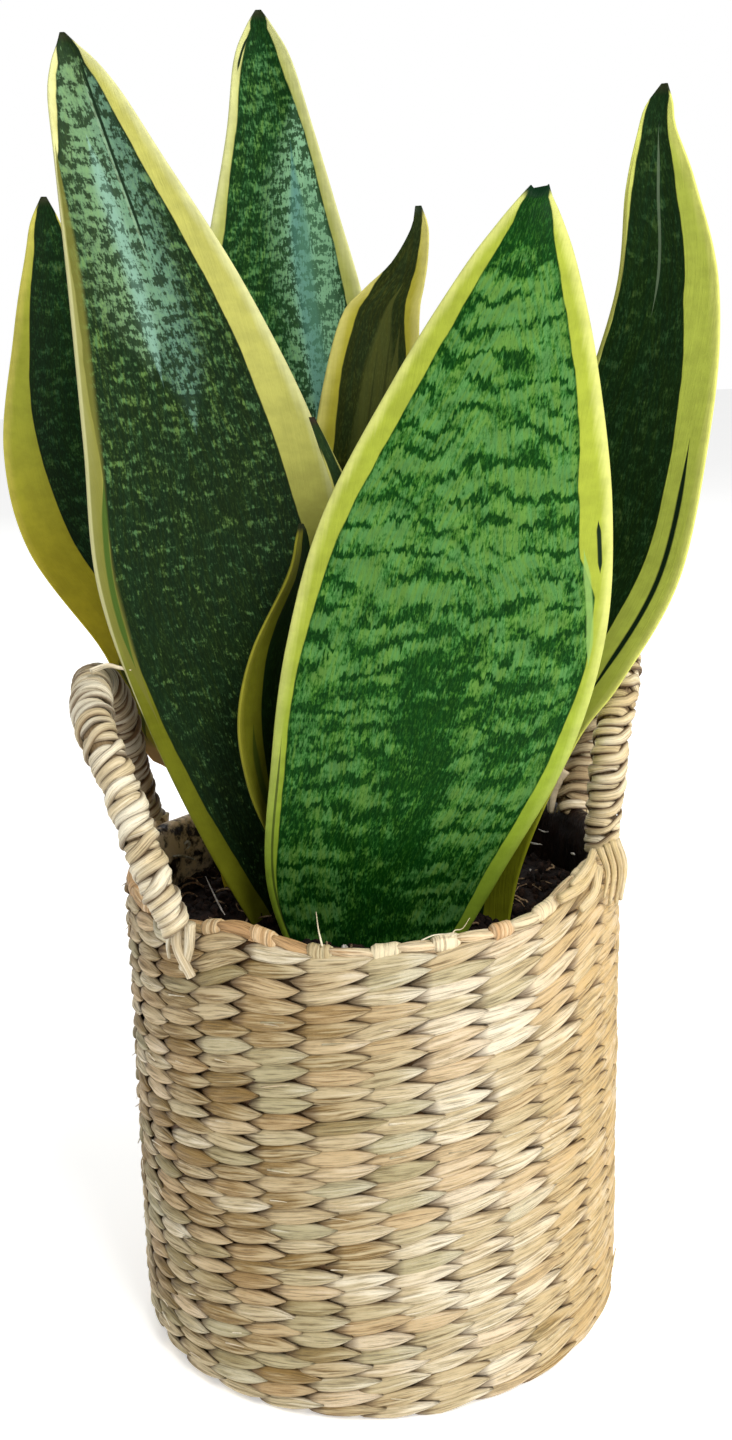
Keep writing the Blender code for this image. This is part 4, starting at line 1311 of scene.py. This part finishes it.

# Looks of the leaves. Colours are as a screen shows them. The pairs of heights of margin_low, fade and
# midrib say where the margin's foot colour ends, how the light bands fade, which paints shade towards the
# leaf's foot and on some leaves painted light towards the top, and where a painted shade stands down the
# middle of the leaf, and cap does it for the dark tip, from the tip down. Each bloom entry is a painted
# sheen, a soft pale streak on the light bands: low, high, offset at both, half width, strength and colour.
# A streak has first the place that its offset is counted from.
LEAF_COLOURS = ("dark", "middle", "light", "margin_outer", "margin_inner", "margin_foot", "tip")
COMMON_LOOK = dict(
    spacing=8, band=0.12, wave=16, crinkle=5, tooth=5, patch=1.5, dash=0.7, fine=1, gloss=0.38, shine=0.08,
    rim=0.1, tip=(38, 44, 24), fade=(200, 340, 0, 0), painted_centre_shade=(100, 101, 0, 0), cap=(9, 3, 0, 0.2), painted_sheen=(),
    streaks=())
LEAF_LOOKS = {
    "leaf_front": dict(
        spacing=7.2, share=0.66, band=0.62, wave=20, crinkle=8, patch=1.35, dash=0.95, gloss=0.36, shine=0.06,
        dark=(8, 54, 8), middle=(48, 100, 34), light=(84, 131, 62), tip=(14, 44, 22),
        margin_outer=(206, 210, 120), margin_inner=(160, 172, 60), margin_foot=(138, 166, 48),
        margin_low=(130, 240), fade=(240, 196, 0, -0.1), painted_centre_shade=(228, 202, 0, 0.2), cap=(26, 9, 0, 0.5),
        streaks=(
            ("right", 206, 240, 2.8, 7.6, 0.9, 0.75, (140, 178, 96)),
            ("right", 232, 247, 3, 3.6, 0.6, 1, DARK_LINE),
            ("left", 114, 192, 1.8, 2.2, 0.35, 0.7, DARK_LINE))),
    "leaf_left_broad": dict(
        spacing=7, share=0.43, wave=22, dash=1.1, fine=2.5, rim=0.12,
        dark=(17, 37, 12), middle=(40, 64, 30), light=(82, 116, 64),
        margin_outer=(214, 214, 150), margin_inner=(190, 188, 98), margin_foot=(108, 112, 22),
        margin_low=(190, 300), fade=(200, 340, -0.14, 0.06), cap=(9, 3, 0, 0.3),
        painted_sheen=(
            (284, 384, -9, -4, 8, 0.55, (130, 168, 124)),
            (268, 374, -1, 4, 5, 0.5, (112, 154, 136)),
            (284, 352, -6.5, -3.5, 2, 0.6, (146, 186, 172))),
        streaks=(
            # This streak paints the sheen along the leaf's centre line.
            ("middle", 282, 352, -6.5, -3.5, 1.6, 0.22, (110, 152, 134)),
            ("left", 186, 352, 3.2, 0.4, 2.5, 0.8, (112, 112, 48)),
            ("left", 190, 350, 0, 0, 0.7, 0.8, (190, 188, 138)),
            ("left", 205, 262, 3, 4.5, 0.8, 0.9, (60, 90, 30)),
            # These two lines paint the shade in the crease and a highlight beside it.
            ("middle", 318, 373, 1, 1.9, 0.4, 1, DARK_LINE),
            ("middle", 314, 368, 0.2, 1, 0.3, 0.35, (150, 176, 140)))),
    "leaf_back": dict(
        spacing=7, share=0.46, wave=18, dash=1.1, fine=2.7, rim=0.12,
        dark=(9, 46, 10), middle=(38, 80, 34), light=(80, 124, 66),
        margin_outer=(204, 206, 140), margin_inner=(172, 176, 92), margin_foot=(140, 140, 60),
        margin_low=(150, 280), fade=(250, 380, -0.06, 0.02), cap=(16, 4, 0, 0.35),
        painted_sheen=(
            (225, 372, 17, 8, 8.5, 1, (138, 186, 146)),
            (235, 352, 12, 5.5, 2.6, 0.9, (120, 170, 162))),
        streaks=(
            # These two streaks paint the sheen on the leaf's right half.
            ("middle", 230, 356, 12, 5.5, 2.6, 0.5, (74, 124, 110)),
            ("middle", 230, 350, 17, 9.5, 5, 0.3, (96, 146, 112)),
            ("left", 372, 383, 1.3, 1.8, 0.35, 1, DARK_LINE))),
    "leaf_left_far": dict(
        share=0.38, patch=1.4, fine=1.8, gloss=0.36,
        dark=(11, 34, 10), middle=(30, 62, 28), light=(62, 92, 52),
        margin_outer=(196, 190, 90), margin_inner=(166, 172, 60), margin_foot=(188, 172, 36),
        margin_low=(200, 290), cap=(9, 3, 0, 0.3),
        streaks=(
            ("left", 150, 178, 2, 1.2, 2.6, 0.85, (166, 124, 88)),
            # This streak is a painted shadow: a broad soft patch low on the leaf.
            ("middle", 166, 204, -14, -12, 12, 0.7, (112, 108, 30)),
            ("left", 172, 200, 2.4, 3.4, 0.8, 0.9, (60, 70, 18)))),
    "leaf_middle": dict(
        spacing=11, share=0.36, band=0.02, crinkle=4, tooth=4, patch=0.5, dash=0.3,
        dark=(36, 46, 14), middle=(56, 66, 26), light=(86, 94, 44), tip=(40, 52, 34),
        margin_outer=(206, 198, 112), margin_inner=(172, 164, 56), margin_foot=(140, 134, 44),
        margin_low=(180, 260), cap=(20, 6, 0, 0.3),
        streaks=(
            ("middle", 190, 312, -1, 1.6, 4.2, 0.4, (98, 102, 46)),
            ("middle", 190, 300, 5, 6, 2, 0.5, (92, 96, 44)),
            ("middle", 200, 290, -6, -2.5, 1.6, 0.4, (80, 86, 38)),
            ("middle", 190, 306, 2.6, 3.6, 0.4, 0.5, (36, 42, 16)),
            ("middle", 200, 296, -2.4, 0.2, 0.3, 0.5, (36, 42, 16)))),
    "leaf_right": dict(
        share=0.34, patch=1.2, fine=1.8, gloss=0.36, shine=0.07,
        dark=(19, 42, 13), middle=(38, 66, 30), light=(66, 92, 48),
        margin_outer=(216, 220, 116), margin_inner=(190, 202, 84), margin_foot=(144, 150, 32),
        margin_low=(150, 220),
        streaks=(
            ("right", 190, 268, 8, 6.5, 1, 1, DARK_LINE),
            ("middle", 296, 347, -5, 0.6, 0.35, 0.6, (112, 130, 104)),
            ("left", 235, 345, 0.6, 0.5, 0.5, 0.9, (160, 160, 80)))),
    "leaf_inner": dict(
        spacing=10, share=0.3, band=0.06, wave=14, crinkle=4, tooth=4, patch=0.8, dash=0.6, shine=0.1,
        dark=(16, 34, 10), middle=(32, 56, 20), light=(56, 80, 32),
        margin_outer=(132, 130, 40), margin_inner=(104, 106, 24), margin_foot=(84, 86, 18),
        margin_low=(140, 200),
        streaks=(("left", 138, 192, 5, 8.2, 1.4, 0.7, (36, 60, 18)),)),
    "leaf_young": dict(
        spacing=9, share=0.3, band=0.06, wave=12, crinkle=4, tooth=4, patch=0.8, dash=0.6, fine=1.2,
        gloss=0.4, shine=0.1, dark=(30, 50, 20), middle=(50, 72, 32), light=(84, 104, 56), tip=(46, 38, 26),
        margin_outer=(180, 178, 96), margin_inner=(150, 152, 70), margin_foot=(110, 112, 44),
        margin_low=(140, 220)),
}


def make_leaves():
    rng = np.random.default_rng(LEAF_SEED)
    groups = {"bands": bands_group(), "margin": margin_group(), "streak": streak_group()}
    for number, (name, leaf) in enumerate(LEAVES.items()):
        look = {**COMMON_LOOK, **LEAF_LOOKS[name]}
        material = leaf_material(name, look, groups, MARKS_SEED_FIRST + MARKS_SEED_STEP * number)
        pile = Pile()
        leaf_mesh(name, leaf, pile, rng)
        pile.piece(name + "_blade", material, (name,))


def film_material():
    """Dark creased film, with pale patches at the left of the rim."""
    material, nodes, shader = new_material("Dark film", roughness=0.5, specular=0.22)
    place = nodes.position()
    creases = nodes.noise(place, (160.0, 160.0, 60.0), 4.0, 0.6)
    dust = nodes.noise(place, (900.0, 900.0, 900.0))
    colour = nodes.mix(nodes.step(creases, 0.3, 0.75), shade(14, 6, 4), shade(44, 26, 18))
    colour = nodes.mix(nodes.step(dust, 0.6, 0.75, 0.0, 0.35), colour, shade(80, 64, 50))
    patches = nodes.noise(place, (150.0, 150.0, 190.0), 4.0, 0.65)
    side = nodes.step(nodes.parts(place)[0], -0.045, -0.055)
    pale_on_left = nodes.times(nodes.step(patches, 0.4, 0.58), side)
    colour = nodes.mix(nodes.times(pale_on_left, 0.95), colour, shade(216, 192, 158))
    nodes.feed(shader["Base Color"], colour)
    nodes.feed(shader["Roughness"], nodes.step(dust, 0.35, 0.7, 0.42, 0.7))
    nodes.feed(shader["Normal"], nodes.bump(creases, FILM_BUMP))
    return material


def soil_material(name, dark, light):
    """Clods and grit between two colours."""
    material, nodes, shader = new_material(name, roughness=0.95, specular=0.25)
    place = nodes.position()
    clods = nodes.noise(place, (260.0, 260.0, 260.0), 4.0, 0.65)
    grit = nodes.noise(place, (1500.0, 1500.0, 1500.0), 3.0, 0.6)
    share = nodes.swayed(grit, 0.8, clods)
    colour = nodes.mix(nodes.step(share, 0.35, 0.75), shade(*dark), shade(*light))
    nodes.feed(shader["Base Color"], colour)
    nodes.feed(shader["Normal"], nodes.bump(nodes.plus(clods, grit), SOIL_BUMP))
    return material


def floor_material():
    """A pale floor that glows a little, so that it stays even."""
    material, nodes, shader = new_material("Pale floor", roughness=0.9, specular=0.2)
    place = nodes.position()
    speck = nodes.noise(place, (6.0, 6.0, 6.0))
    nodes.feed(shader["Base Color"], nodes.mix(speck, shade(246, 246, 245), shade(250, 250, 249)))
    shader["Emission Color"].default_value = (1.0, 1.0, 1.0, 1.0)
    shader["Emission Strength"].default_value = FLOOR_LIGHT
    return material


# Floor, light and camera


def make_floor():
    mesh = bpy.data.meshes.new("floor")
    builder = bmesh.new()
    bmesh.ops.create_grid(builder, x_segments=8, y_segments=8, size=FLOOR_HALF)
    builder.to_mesh(mesh)
    builder.free()
    mesh.materials.append(floor_material())
    floor = bpy.data.objects.new("floor", mesh)
    floor.location = (0.0, 0.0, -FLOOR_BELOW)
    bpy.context.scene.collection.objects.link(floor)


def put(obj, at, right, up, way):
    """Links an object that looks along way from a point in metres."""
    columns = np.stack([right, up, -way], axis=-1)
    obj.matrix_world = Matrix.Translation(at) @ Matrix(columns.tolist()).to_4x4()
    bpy.context.scene.collection.objects.link(obj)


def make_light(name, at, size, power, colour):
    """A round light that looks at the middle of the plant."""
    data = bpy.data.lights.new(name, "AREA")
    data.shape = "DISK"
    data.size = size
    data.energy = power
    data.color = colour
    way = unit(np.array(LIGHTS_AIM) - at)
    right = unit(np.cross(way, (0.0, 0.0, 1.0)))
    put(bpy.data.objects.new(name, data), at, right, np.cross(right, way), way)


def make_lights():
    """Three lights and an even sky, which the camera sees as white."""
    for light in LIGHTS:
        make_light(*light)
    world = bpy.data.worlds.new("studio")
    world.use_nodes = True
    background = world.node_tree.nodes["Background"]
    background.inputs["Color"].default_value = (1.0, 1.0, 1.0, 1.0)
    nodes = Nodes(world.node_tree)
    seen = nodes.add("ShaderNodeLightPath").outputs["Is Camera Ray"]
    nodes.feed(background.inputs["Strength"], nodes.step(seen, 0.0, 1.0, SKY_LIGHT, 1.0))
    bpy.context.scene.world = world


def make_camera():
    """The camera of the photo's side: level, turned down a little and rolled."""
    data = bpy.data.cameras.new("camera")
    data.lens = CAMERA_LENS
    data.sensor_width = FILM_SIDE
    data.sensor_fit = "AUTO"
    data.clip_start = 0.01
    camera = bpy.data.objects.new("camera", data)
    down = math.radians(CAMERA_DOWN)
    roll = math.radians(CAMERA_ROLL)
    way = np.array([0.0, math.cos(down), -math.sin(down)])
    level = np.array([1.0, 0.0, 0.0])
    up = np.cross(level, way)
    right = math.cos(roll) * level + math.sin(roll) * up
    top = -math.sin(roll) * level + math.cos(roll) * up
    put(camera, [part * MM for part in CAMERA_AT], right, top, way)
    bpy.context.scene.camera = camera


# Straw and cord: dark, middle, light, golden, rosy and painted shade colours, then how strongly the lines
# show.
STRAWS = {
    "Seagrass": (((142, 113, 60), (199, 181, 142), (234, 224, 200), (200, 167, 106), (203, 169, 123),
                  (84, 58, 34)), 0.75),
    "Seagrass border": (((150, 112, 70), (202, 162, 112), (242, 226, 190), (226, 196, 142), (204, 158, 110),
                         (84, 58, 34)), 0.7),
    "Twisted cord": (((170, 148, 110), (214, 196, 158), (246, 238, 214), (222, 196, 136), (206, 178, 140),
                      (92, 66, 36)), 0.6),
    "Shaded stakes": (((118, 88, 52), (150, 116, 74), (176, 142, 96), (160, 120, 70), (134, 98, 66),
                       (84, 58, 34)), 0.6),
}


def main():
    rng = np.random.default_rng(SEED)
    fibres = straw_group()
    straw, border, cord, stakes = (straw_material(name, fibres, *look) for name, look in STRAWS.items())
    make_basket(straw, rng)
    make_backing(stakes)
    make_border(border, rng)
    make_handle("left", cord, rng)
    make_handle("right", cord, rng)
    make_foot_strands(cord, rng)
    make_loose_fibres(cord, rng)
    make_liner(film_material(), rng)
    make_soil(soil_material("Potting mix", (14, 6, 4), (40, 24, 16)))
    make_soil_bits(
        soil_material("Soil crumbs", (16, 8, 6), (58, 38, 27)),
        soil_material("Pale bits", (176, 168, 156), (236, 232, 224)),
        soil_material("Root fibres", (112, 84, 60), (196, 170, 134)), rng)
    make_leaves()
    make_floor()
    make_lights()
    # Colours come out as they are, without a film curve.
    bpy.context.scene.view_settings.view_transform = "Standard"
    make_camera()


main()
